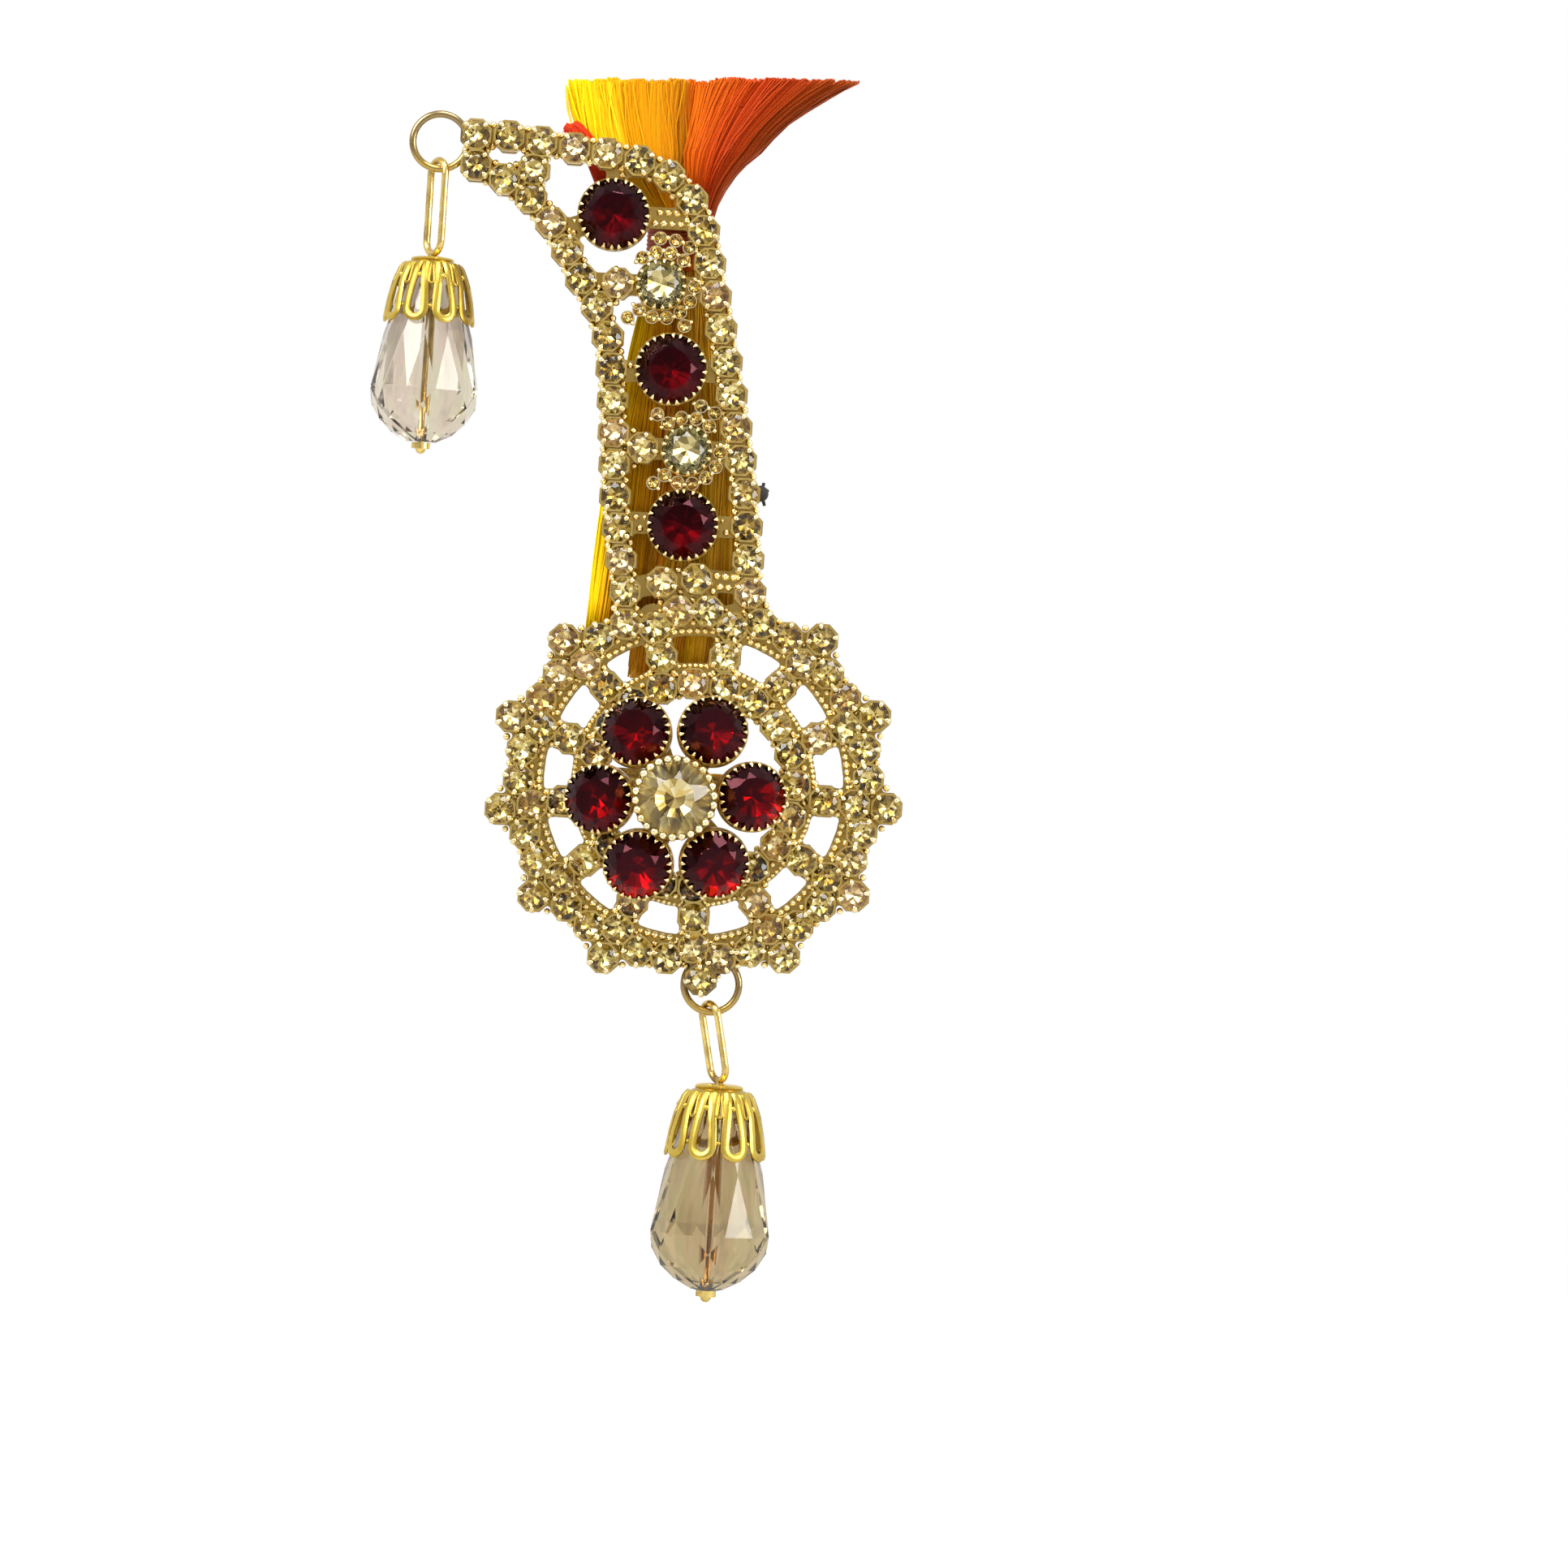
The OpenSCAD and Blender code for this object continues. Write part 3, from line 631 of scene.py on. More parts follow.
# Lit and shaded copies of one gold: the darker setting gold is painted shade on the cups' walls, and the
# paler gold of teeth, beads and claws is painted highlight
SETTING_GOLD_PAINTED_SHADE = plated("setting_gold", (0.62, 0.42, 0.12), (0.26, 0.15, 0.03), 0.2, 0.4)
TOOTH_GOLD_PAINTED_HIGHLIGHT = plated("tooth_gold_painted_highlight", (0.98, 0.84, 0.46), (0.66, 0.47, 0.17), 0.1, 0.24)
BEAD_GOLD_PAINTED_HIGHLIGHT = plated("bead_gold_painted_highlight", (1.0, 0.91, 0.60), (0.76, 0.60, 0.26), 0.14, 0.3)
CLAW_GOLD_PAINTED_HIGHLIGHT = plated("claw_gold_painted_highlight", (1.0, 0.90, 0.56), (0.66, 0.50, 0.19), 0.12, 0.3)
CAP_GOLD = plated("cap_gold", (0.68, 0.50, 0.09), (0.48, 0.33, 0.045), 0.2, 0.38)
# A darker copy of the caps' gold: painted shade on the collar, the short loops and the lower beads, and a
# random darker tone on about a quarter of the long loops
CAP_GOLD_PAINTED_SHADE = plated("cap_gold_painted_shade", (0.50, 0.35, 0.06), (0.32, 0.20, 0.03), 0.24, 0.42)
PIN_GOLD = plated("pin_gold", (0.84, 0.64, 0.22), (0.26, 0.16, 0.05), 0.16, 0.36)
STEEL = plated("plated_steel", (0.70, 0.68, 0.64), (0.42, 0.40, 0.36), 0.18, 0.4)
CLEAR_GLASS = glass("champagne_glass", (1.0, 0.97, 0.82), (0.70, 0.58, 0.32))
GOLD_FOIL = foil("gold_foil", (0.08, 0.05, 0.01), (0.56, 0.42, 0.12), (1.0, 0.93, 0.56),
                 (0.72, 0.50, 0.34), 0.14)
CREAM_FOIL = foil("cream_foil", (0.14, 0.09, 0.02), (0.80, 0.66, 0.28), (1.0, 1.0, 0.86),
                  (0.72, 0.70, 0.36), 0.1)
PALE_FOIL = foil("pale_foil", (0.30, 0.28, 0.16), (0.80, 0.80, 0.56), (1.0, 1.0, 0.90), (0.80, 0.92, 0.66))
RED_GLASS = glass("red_glass", (0.66, 0.03, 0.05), (0.40, 0.02, 0.04), 1.38, (1.0, 0.28, 0.36))
RED_FOIL = foil("red_foil", (0.02, 0.003, 0.006), (0.06, 0.005, 0.012), (0.50, 0.02, 0.024),
                (0.07, 0.006, 0.028), 0.2)
WINE_FOIL = foil("wine_foil", (0.02, 0.004, 0.008), (0.035, 0.005, 0.012), (0.11, 0.008, 0.02),
                 (0.04, 0.007, 0.022), 0.3)
CRYSTAL_GLASS = {
    "beak_crystal": crystal("pale_crystal_painted_surroundings", (0.50, 0.41, 0.33), (0.74, 0.61, 0.51), (0.66, 0.63, 0.45),
                            (0.88, 0.81, 0.70)),
    "base_crystal": crystal("rose_crystal_painted_surroundings", (0.30, 0.20, 0.10), (0.52, 0.35, 0.19), (0.45, 0.37, 0.17),
                            (0.64, 0.49, 0.27))}
# Each silk darkens from left to right: partly the floss's own colour, partly painted shade on the side away
# from the light
YELLOW_SILK = silk("yellow_silk", (0.93, 0.72, 0.001), (0.80, 0.43, 0.002), (0.62, 0.26, 0.002), 0.5)
ORANGE_SILK = silk("orange_silk", (0.72, 0.17, 0.001), (0.48, 0.042, 0.001), (0.34, 0.058, 0.002), 0.7)
AMBER_SILK = silk("amber_silk", (0.90, 0.56, 0.01), (0.80, 0.46, 0.03), (0.80, 0.26, 0.006), 0.4)
RED_SILK = silk("red_silk", (0.72, 0.05, 0.003), (0.62, 0.04, 0.003), (0.45, 0.02, 0.003))
TIE_THREAD = thread("tie_thread", (0.50, 0.085, 0.008), (0.18, 0.018, 0.003), 0.04)
KNOT_THREAD = thread("knot_thread", (0.014, 0.012, 0.012), (0.004, 0.003, 0.003), 0.05)


# Places read from the frame, in the flat pieces' millimetres

def islands(node):
    """Boxes of a node's loose solids, as (lowest, highest) corners facing the viewer."""
    mesh = frame["nodes"][node].data
    key = {}
    home = [key.setdefault(tuple(round(c * 1e6) for c in v.co), v.index) for v in mesh.vertices]
    parent = list(range(len(home)))

    def root(i):
        while parent[i] != i:
            parent[i] = parent[parent[i]]
            i = parent[i]
        return i

    for face in mesh.polygons:
        first = root(home[face.vertices[0]])
        for i in face.vertices:
            parent[root(home[i])] = first
    found = {}
    for v in mesh.vertices:
        spot = Vector((v.co.x, v.co.z, -v.co.y)) / MM
        low, high = found.setdefault(root(home[v.index]), (spot.copy(), spot.copy()))
        for k in range(3):
            low[k], high[k] = min(low[k], spot[k]), max(high[k], spot[k])
    return [found[k] for k in sorted(found)]


def seat(node):
    """Centre of a flat node's back, facing the viewer."""
    low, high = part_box(node)
    return Vector(((low.x + high.x) / 2, (low.z + high.z) / 2, -high.y)) / MM


def width(node):
    low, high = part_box(node)
    return (high.x - low.x) / MM


def cup_circles(nodes):
    """Centre and radius of each of these settings."""
    return [(seat(node), width(node) / 2) for node in nodes]


small_places = {node: islands(node) for node in SMALL_NODES}
small_centres = [(low + high) / 2 for boxes in small_places.values() for low, high in boxes]


# Small stones and their claws

def small_stones(node):
    shape = Shape()
    stone = cut_stone(8, SMALL_R, SMALL_CROWN, SMALL_BACK, girdle=0.1)
    for low, high in small_places[node]:
        centre = (low + high) / 2
        tilt = Matrix.Rotation(math.radians(HAND.uniform(-4, 4)), 4, "X")
        tilt = tilt @ Matrix.Rotation(math.radians(HAND.uniform(-4, 4)), 4, "Y")
        turn = Matrix.Rotation(HAND.uniform(0, math.tau), 4, "Z")
        spot = Matrix.Translation((centre.x, centre.y, low.z + SMALL_SEAT + HAND.uniform(-0.03, 0.05)))
        add_stone(shape, stone, FACE @ spot @ tilt @ turn)
    made = shape.piece(node + "_cut", [CLEAR_GLASS, GOLD_FOIL], "ornament", node, slot="champagne_stone")
    paint_facet_glints(made, 1.0)


def claw():
    """One claw in the plane of X and Z, bent over the edge of a small stone."""
    path = [(out, 0, up) for out, up, _, _ in CLAW_ROWS]
    halves = [half * CLAW_W for _, _, half, _ in CLAW_ROWS]
    return swept(path, halves, [thick for *_, thick in CLAW_ROWS], (0, 1, 0))


def small_claws():
    shape = Shape()
    one = claw()
    for centre in small_centres:
        near = min((c for c in small_centres if c is not centre), key=lambda c: (c - centre).length)
        ahead = math.atan2(near.y - centre.y, near.x - centre.x)
        for k in range(4):
            turn = ahead + math.radians(45 + 90 * k + HAND.uniform(-6, 6))
            grow = HAND.uniform(0.92, 1.05)
            place = Matrix.Translation((centre.x, centre.y, 0)) @ Matrix.Rotation(turn, 4, "Z")
            shape.add(one, FACE @ place @ Matrix.Diagonal((1, grow, 1, 1)))
    shape.piece("stone_claws", [CLAW_GOLD_PAINTED_HIGHLIGHT], "ornament", slot="gold_plate", sharp=60)


def grains():
    """Small gold beads soldered along the openings' edges and across the stem's bars."""
    big_cups = cup_circles(RED_SETTINGS + CLEAR_SETTINGS)
    spots = []
    for reach, radius in ((RIM_EDGE_R, RIM_BEAD), (RING_EDGE_R, RING_BEAD)):
        count = round(math.tau * reach / (radius * BEAD_STEP))
        spots += [(reach * math.cos(turn), reach * math.sin(turn), radius) for turn in turns(count)]
    for i, a in enumerate(small_centres):
        for b in small_centres[:i]:
            apart = Vector((b.x - a.x, b.y - a.y))
            if apart.length < NOTCH_REACH:
                middle, side = a.xy.lerp(b.xy, 0.5), apart.orthogonal().normalized() * NOTCH_SIDE
                spots += [(*(middle + side), RIM_BEAD), (*(middle - side), RIM_BEAD)]
    for a, b in STEM_BARS:
        a, b = Vector(a), Vector(b)
        side = (b - a).normalized().orthogonal() * BAR_ROW
        count = round((b - a).length / BAR_PITCH)
        for i in range(count + 1):
            for way in (-1, 1):
                spot = a.lerp(b, (i + 0.25 * way) / count) + way * side
                spots.append((spot.x, spot.y, BAR_BEAD))
    shape = Shape()
    for x, y, wanted in spots:
        for radius in (wanted, SMALL_BEAD):
            free = all(math.hypot(c.x - x, c.y - y) > CUP_CLEAR + radius * 0.8 for c in small_centres)
            if free and all(math.hypot(c.x - x, c.y - y) > cup_r + radius for c, cup_r in big_cups):
                grow = HAND.uniform(0.88, 1.06)
                height = PLATE_T + 0.12 + HAND.uniform(0, 0.1)
                place = Matrix.Translation((x, y, height)) @ Matrix.Scale(grow, 4)
                shape.add(bead(radius), FACE @ place)
                break
    shape.piece("gold_grains", [BEAD_GOLD_PAINTED_HIGHLIGHT], "ornament", slot="gold_plate", sharp=80)


def collars():
    """Rows of tiny stones in cups round the stem's two clear stones, with small beads between them."""
    shape, dots = Shape(), Shape()
    red_cups = cup_circles(RED_SETTINGS)
    stone = cut_stone(6, COLLAR_R, 0.3, 0.28, girdle=0.08)
    outer_r = COLLAR_R + COLLAR_WALL
    cup = turned([(0, -0.9), (outer_r, -0.8), (outer_r, 0), (COLLAR_R, 0), (COLLAR_R, -0.4), (0, -0.4)], 12)
    inner = []
    rows = [(*circle, *row) for circle in cup_circles(CLEAR_SETTINGS) for row in COLLAR_ROWS]
    for middle, cup_r, further, lift in rows:
        reach = cup_r + outer_r + further
        count = int(math.tau * reach / (2 * COLLAR_R + COLLAR_GAP))
        for k in range(count):
            turn = Matrix.Rotation(k * math.tau / count, 4, "Z")
            spot = middle + turn @ Vector((reach, 0, lift))
            # The outer row has a stone only beside one of the inner row, and clear of the red cups
            crowded = any((c.xy - spot.xy).length < r + COLLAR_R + COLLAR_RED_GAP for c, r in red_cups)
            if further and (crowded or all((c - spot.xy).length > COLLAR_NEAR for c in inner)):
                continue
            if all(math.hypot(c.x - spot.x, c.y - spot.y) > COLLAR_CLEAR + COLLAR_R for c in small_centres):
                spin = Matrix.Rotation(HAND.uniform(0, math.tau), 4, "Z")
                add_stone(shape, stone, FACE @ Matrix.Translation(spot) @ spin)
                if not further:
                    inner.append(spot.xy)
                dots.add(cup, FACE @ Matrix.Translation(spot))
            half_step = Matrix.Rotation(math.pi / count, 4, "Z")
            dot = middle + turn @ half_step @ Vector((reach + 0.1, 0, lift + 0.25))
            if all(math.hypot(c.x - dot.x, c.y - dot.y) > DOT_CLEAR for c in small_centres):
                dots.add(bead(SMALL_BEAD), FACE @ Matrix.Translation(dot))
    made = shape.piece("collar_stones_cut", [CLEAR_GLASS, GOLD_FOIL], "ornament", slot="champagne_stone")
    paint_facet_glints(made, 1.0)
    dots.piece("collar_dots", [BEAD_GOLD_PAINTED_HIGHLIGHT], "ornament", slot="gold_plate", sharp=60)


# Large stones in toothed cups

def toothed_cup(shape, place, w, h, beads=0):
    """Thin cup with pointed teeth bent over the stone's edge, or with a rim of beads."""
    radius = w / 2
    inside = radius - CUP_WALL
    stone_r = inside - STONE_GAP
    girdle_z = CUP_FLOOR + STONE_GAP + h * 0.62
    rim = girdle_z - 0.3
    shape.add(turned([(0, 0), (radius - 0.25, 0), (radius - 0.08, 0.1), (radius, 0.3), (radius, rim),
                      (radius - 0.06, rim + 0.08), (inside + 0.04, rim + 0.08), (inside, rim),
                      (inside, CUP_FLOOR), (0, CUP_FLOOR)], 64), place)
    for i in range(beads):
        turn = Matrix.Rotation((i + 0.5) * math.tau / beads, 4, "Z")
        grow = HAND.uniform(0.92, 1.04)
        spot = Matrix.Translation((radius - 0.3, 0, girdle_z + 0.12)) @ Matrix.Scale(grow, 4)
        shape.add(bead(CENTRE_BEAD), place @ turn @ spot, 1)
    if beads:
        return girdle_z, stone_r
    teeth = round(math.pi * w / TOOTH_PITCH)
    share = math.pi * w / teeth
    path = [(radius - inset, 0, height) for inset, height in
            ((0.13, rim - 0.35), (0.1, rim + 0.2), (0.13, girdle_z + 0.2), (0.25, girdle_z + 0.38),
             (0.42, girdle_z + 0.48), (0.6, girdle_z + 0.55))]
    halves = [share * part for part in (0.40, 0.33, 0.26, 0.20, 0.13, 0.03)]
    depths = [0.12, 0.12, 0.13, 0.13, 0.11, 0.05]
    for i in range(teeth):
        turn = Matrix.Rotation(i * math.tau / teeth, 4, "Z")
        lean = Matrix.Rotation(math.radians(HAND.uniform(-4, 4)), 4, "X")
        shape.add(swept(path, halves, depths, (0, 1, 0)), place @ turn @ lean, 1)
    return girdle_z, stone_r


def set_stone(node, place, w, h, rise, glass_finish, foil_finish, slot, sides, back, spread=1.0, table=0.6,
              peg=None, beads=0):
    """A cup with its cut stone, which stand for a setting's node and its stone's.

    w and h are the cup's width and height, rise and back the stone's depths above and below its edge,
    and peg the radius and length of a peg under the cup."""
    stone_node = node.replace("setting", "stone")
    cup = Shape()
    girdle_z, stone_r = toothed_cup(cup, place, w, h, beads)
    if peg:
        cup.add(turned([(0, -peg[1]), (peg[0], -peg[1]), (peg[0], 0.2), (0, 0.2)], 24), place)
    # The wall takes the darker gold, a painted shade; the teeth and beads take the paler gold, a painted
    # highlight
    finishes = [SETTING_GOLD_PAINTED_SHADE, BEAD_GOLD_PAINTED_HIGHLIGHT if beads else TOOTH_GOLD_PAINTED_HIGHLIGHT]
    cup.piece(node.replace("setting", "cup"), finishes, "ornament", node, slot="setting_gold", sharp=50)
    stone = Shape()
    spin = Matrix.Rotation(HAND.uniform(0, math.tau), 4, "Z")
    seated = place @ Matrix.Translation((0, 0, girdle_z))
    add_stone(stone, cut_stone(sides, stone_r, rise, back, table, 0.15), seated @ spin)
    made = stone.piece(stone_node + "_cut", [glass_finish, foil_finish], "ornament", stone_node, slot=slot)
    paint_facet_glints(made, spread, (seated.translation, stone_r) if slot == "red_stone" else None)


def large_stones():
    for node in RED_SETTINGS:
        set_stone(node, FACE @ Matrix.Translation(seat(node)), width(node), 2.6, 1.5, RED_GLASS, WINE_FOIL,
                  "red_stone", sides=12, back=1.3, spread=1.8)
    for node in CLEAR_SETTINGS:
        set_stone(node, FACE @ Matrix.Translation(seat(node)), width(node), 2.1, 1.2, CLEAR_GLASS, PALE_FOIL,
                  "champagne_stone", sides=8, back=0.75)
    middle = seat("centre_setting")
    flower = Vector((middle.x, middle.y, 0))
    for i in range(6):
        turn = math.radians(PETAL_TURN + i * 60)
        out = Vector((math.cos(turn), math.sin(turn), 0)) * PETAL_R + Vector((0, 0, PETAL_Z))
        place = FACE @ Matrix.Translation(flower + out) @ Matrix.Rotation(turn, 4, "Z")
        place = place @ Matrix.Rotation(math.radians(PETAL_LEAN), 4, "Y")
        set_stone(f"petal_setting_{i + 1}", place, PETAL_W, 2.2, 1.4, RED_GLASS, RED_FOIL, "red_stone",
                  sides=12, back=1.2, spread=2.6, peg=(1.5, PETAL_PEG))
    place = FACE @ Matrix.Translation(middle + Vector((0, 0, CENTRE_PEG)))
    set_stone("centre_setting", place, width("centre_setting"), 2.6, 1.7, CLEAR_GLASS, CREAM_FOIL,
              "champagne_stone", sides=14, back=1.1, table=0.5, peg=(2.2, CENTRE_PEG), beads=CENTRE_BEADS)


# Drops

def bell_r(z):
    """Radius of the cap's bell at a height below its top."""
    for (z0, r0), (z1, r1) in zip(BELL_ROWS, BELL_ROWS[1:]):
        if z >= z1:
            return mix(r0, r1, (z - z0) / (z1 - z0))
    return BELL_ROWS[-1][1]


def cap_loop(turn, half, foot_z, top_z, wide, depth, out=0.0):
    """One upright U of flat wire on the bell: down one side, round the foot and up the other."""
    round_h = half * bell_r(foot_z) * 0.95
    leg = [(mix(0.62, 1, ease(i / 9)) * half, mix(top_z, foot_z + round_h, i / 9)) for i in range(10)]
    bend = [(half * math.cos(a), foot_z + round_h * (1 - math.sin(a)))
            for a in (math.pi * k / 10 for k in range(1, 10))]
    line = [(turn + a, z) for a, z in leg + bend] + [(turn - a, z) for a, z in leg[::-1]]
    path = [Vector(((bell_r(z) + out) * math.cos(a), (bell_r(z) + out) * math.sin(a), z)) for a, z in line]
    points = []
    sides = 8
    for i, spot in enumerate(path):
        along = (path[min(i + 1, len(path) - 1)] - path[max(i - 1, 0)]).normalized()
        outward = Vector((spot.x, spot.y, 1.2)).normalized()
        outward = (outward - outward.dot(along) * along).normalized()
        side = along.cross(outward)
        for a in turns(sides, 0.5):
            points.append(spot + side * wide / 2 * math.cos(a) + outward * depth / 2 * math.sin(a))
    return points, skin(len(path), sides)


def drop_cap(body, node):
    """A drop's cap: a dome and a collar, long loops of flat wire, short ones between them, and beads."""
    low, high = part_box(node)
    size = (high.z - low.z) / MM / CAP_H
    place = Matrix.Translation(Vector(((low.x + high.x) / 2, (low.y + high.y) / 2, high.z)) / MM)
    place = place @ Matrix.Scale(size, 4)
    shape = Shape()
    shape.add(turned([(0.55, 0.1), (0.9, 0.14), (1.9, 0.1), (2.5, -0.02), (2.7, -0.22), (2.6, -0.5),
                      (1.6, -0.55), (0.6, -0.5), (0.55, 0.1)], 40), place)
    # Finish 1, the darker gold, is a painted shade on the collar, the short loops and the lower beads; on
    # about a quarter of the long loops, picked at random, it is a darker tone
    shape.add(turned([(2.4, -0.35), (3.0, -0.6), (3.72, -1.4), (3.8, -1.9), (3.6, -1.95), (3.4, -1.5),
                      (2.7, -0.8), (2.3, -0.7), (2.4, -0.35)], 48), place, 1)
    for i in range(CAP_LOOPS):
        turn = (i + 0.35) * math.tau / CAP_LOOPS
        between = turn + math.pi / CAP_LOOPS
        shape.add(cap_loop(turn, 0.215, -CAP_H + 0.5, -0.8, 1.0, 0.5), place, HAND.random() > 0.75)
        shape.add(cap_loop(between, 0.07, -3.4, -0.9, 0.4, 0.34, 0.06), place, 1)
        shape.add(bead(0.36), place @ Matrix.Rotation(turn, 4, "Z")
                  @ Matrix.Translation((bell_r(-2.4) + 0.02, 0, -2.4)))
        shape.add(bead(0.3), place @ Matrix.Rotation(between, 4, "Z")
                  @ Matrix.Translation((bell_r(-6.2) - 0.1, 0, -6.2)), 1)
    shape.piece(node + "_loops", [CAP_GOLD, CAP_GOLD_PAINTED_SHADE], body, node, slot="drop_gold", sharp=60)
    return place


def drop_crystal(body, node, place):
    """Long crystal with upright facets between pointed kites, drilled from end to end."""
    # Share of the radius, height, and 1 where a row is turned by half a facet
    rows = [(0.26, -0.9, 0), (0.54, -3.4, 1), (0.80, -9.6, 0), (1.0, -16.4, 1), (0.94, -18.4, 0),
            (0.80, -20.2, 1), (0.55, -21.7, 0), (0.27, -CRYSTAL_L, 1)]
    step = math.tau / CRYSTAL_SIDES
    points, faces = [], []
    for share, z, half in rows:
        points += [(share * CRYSTAL_R * math.cos((i + half / 2) * step),
                    share * CRYSTAL_R * math.sin((i + half / 2) * step), z) for i in range(CRYSTAL_SIDES)]
    n = CRYSTAL_SIDES
    for k, ((_, _, upper), (_, _, lower)) in enumerate(zip(rows, rows[1:])):
        for i in range(n):
            j = (i + 1) % n
            a, b, c, d = k * n + i, k * n + j, (k + 1) * n + i, (k + 1) * n + j
            if lower:
                faces += [[b, a, c], [b, c, d]]
            else:
                faces += [[b, a, d], [a, c, d]]
    bore = len(points)
    for z in (rows[0][1], rows[-1][1]):
        points += [(BORE_R * math.cos(i * step), BORE_R * math.sin(i * step), z) for i in range(n)]
    last = (len(rows) - 1) * n
    for i in range(n):
        j = (i + 1) % n
        faces.append([bore + i, bore + j, bore + n + j, bore + n + i])
        faces.append([i, j, bore + j, bore + i])
        faces.append([last + j, last + i, bore + n + i, bore + n + j])
    shape = Shape().add((points, faces), place)
    shape.piece(node + "_cut", [CRYSTAL_GLASS[node]], body, node, slot="crystal")


# Plume

def lock_path(root, bend, tip, t):
    """Point of a lock's curve, at a share t of the way from its root to its tip."""
    a, b, c = Vector(root), Vector(bend), Vector(tip)
    return a.lerp(b, t).lerp(b.lerp(c, t), t)


def lock_way(lock, t):
    """Direction in which a lock runs at a share t of its length."""
    return (lock_path(*lock, min(t + 0.05, 1)) - lock_path(*lock, max(t - 0.05, 0))).normalized()


def lock_width(widths, t):
    """Width at a share t, from the widths at the root, the middle and the tip."""
    return mix(mix(widths[0], widths[1], min(1, 2 * t)), widths[2], max(0, 2 * t - 1))


def add_strand(shape, line, radius, across, along, shade):
    """A fine three-sided strand. along has a value for each point of its line."""
    along = [t for t in along for _ in range(3)]
    shape.add(wire(line, radius, 3), None, across=across, along=along, shade=shade)


def add_lock(shape, lock, widths, across, count, steps=9):
    """A lock of silk: a smooth heart and fine strands that lie round it."""
    rings = []
    for i in range(steps):
        t = i / (steps - 1)
        along = lock_way(lock, t)
        side = along.cross(Vector((0, 1, 0))).normalized()
        rings.append((lock_path(*lock, t), side, side.cross(along), lock_width(widths, t) / 2, t))
    low, high = across
    round_heart = turns(12)
    points = [here + half * 0.86 * (side * math.cos(turn) + 0.8 * deep * math.sin(turn))
              for here, side, deep, half, _ in rings for turn in round_heart]
    shape.add((points, skin(steps, len(round_heart), mirrored=True)), None,
              across=[mix(low, high, 0.5 + 0.5 * math.cos(turn)) for _ in rings for turn in round_heart],
              along=[t for *_, t in rings for _ in round_heart], shade=0.55)
    for _ in range(count):
        turn = HAND.uniform(0, math.tau)
        reach = HAND.uniform(0.82, 1.02)
        drift, wave = HAND.uniform(-0.35, 0.35), HAND.uniform(-0.25, 0.25)
        short = HAND.uniform(0.4, 1.0)
        radius = STRAND_R * HAND.uniform(0.8, 1.25)
        line = []
        for here, side, deep, half, t in rings:
            angle = turn + drift * t
            spot = here + half * reach * (side * math.cos(angle) + 0.8 * deep * math.sin(angle))
            line.append(spot + side * wave * math.sin(t * 6 + turn))
        line[-1] = line[-2].lerp(line[-1], short)
        place = mix(low, high, 0.5 + 0.5 * math.cos(turn))
        add_strand(shape, line, radius, place, [t for *_, t in rings], HAND.random())


def fan_edge(half, side_sign, t):
    """Left or right outline of a half of the plume, at a share t of its height."""
    from_x, tips, bends = half
    share = 0 if side_sign < 0 else 1
    line = [Vector((from_x + share - 0.5, 0, NECK[2] + LOCK_START)),
            Vector((bends[share][0], 0, bends[share][1])),
            Vector((tips[share][0], 0, PLUME_TOP + tips[share][1]))]
    along = lock_way(line, t)
    side = Vector((along.z, 0, -along.x))
    return lock_path(*line, t) + side_sign * side * lock_width(FAN_WIDTHS, t) / 2


def to_cut(spot, ahead):
    """Length from a strand's end, along its way ahead, to the line on which the plume is cut.

    It is held back where a strand runs so nearly level that it would reach far out."""
    short = PLUME_TOP + CUT_RISE + spot.x * math.tan(VIEW_ROLL) - spot.z
    return min(6, max(-3, short / max(0.3, ahead.z)))


def fan_rows(half):
    """Rows of (left, right, middle depth, half depth, share) from the neck to the ends."""
    rows = []
    for i in range(FAN_ROWS):
        t = i / (FAN_ROWS - 1)
        deep = mix(1.25, 3.2, ease(min(1, 2 * t))) - 0.3 * max(0, 2 * t - 1)
        rows.append((fan_edge(half, -1, t), fan_edge(half, 1, t), NECK[1] + 0.1 + 0.5 * t * t, deep, t))
    return rows


def fan_spot(row, turn, reach):
    """Point in a row of the plume, at a turn and a share of the reach from its middle."""
    left, right, middle, deep, _ = row
    across = 0.5 + 0.5 * reach * math.cos(turn)
    spot = left.lerp(right, across)
    spot.y = middle + deep * reach * math.sin(turn)
    return spot


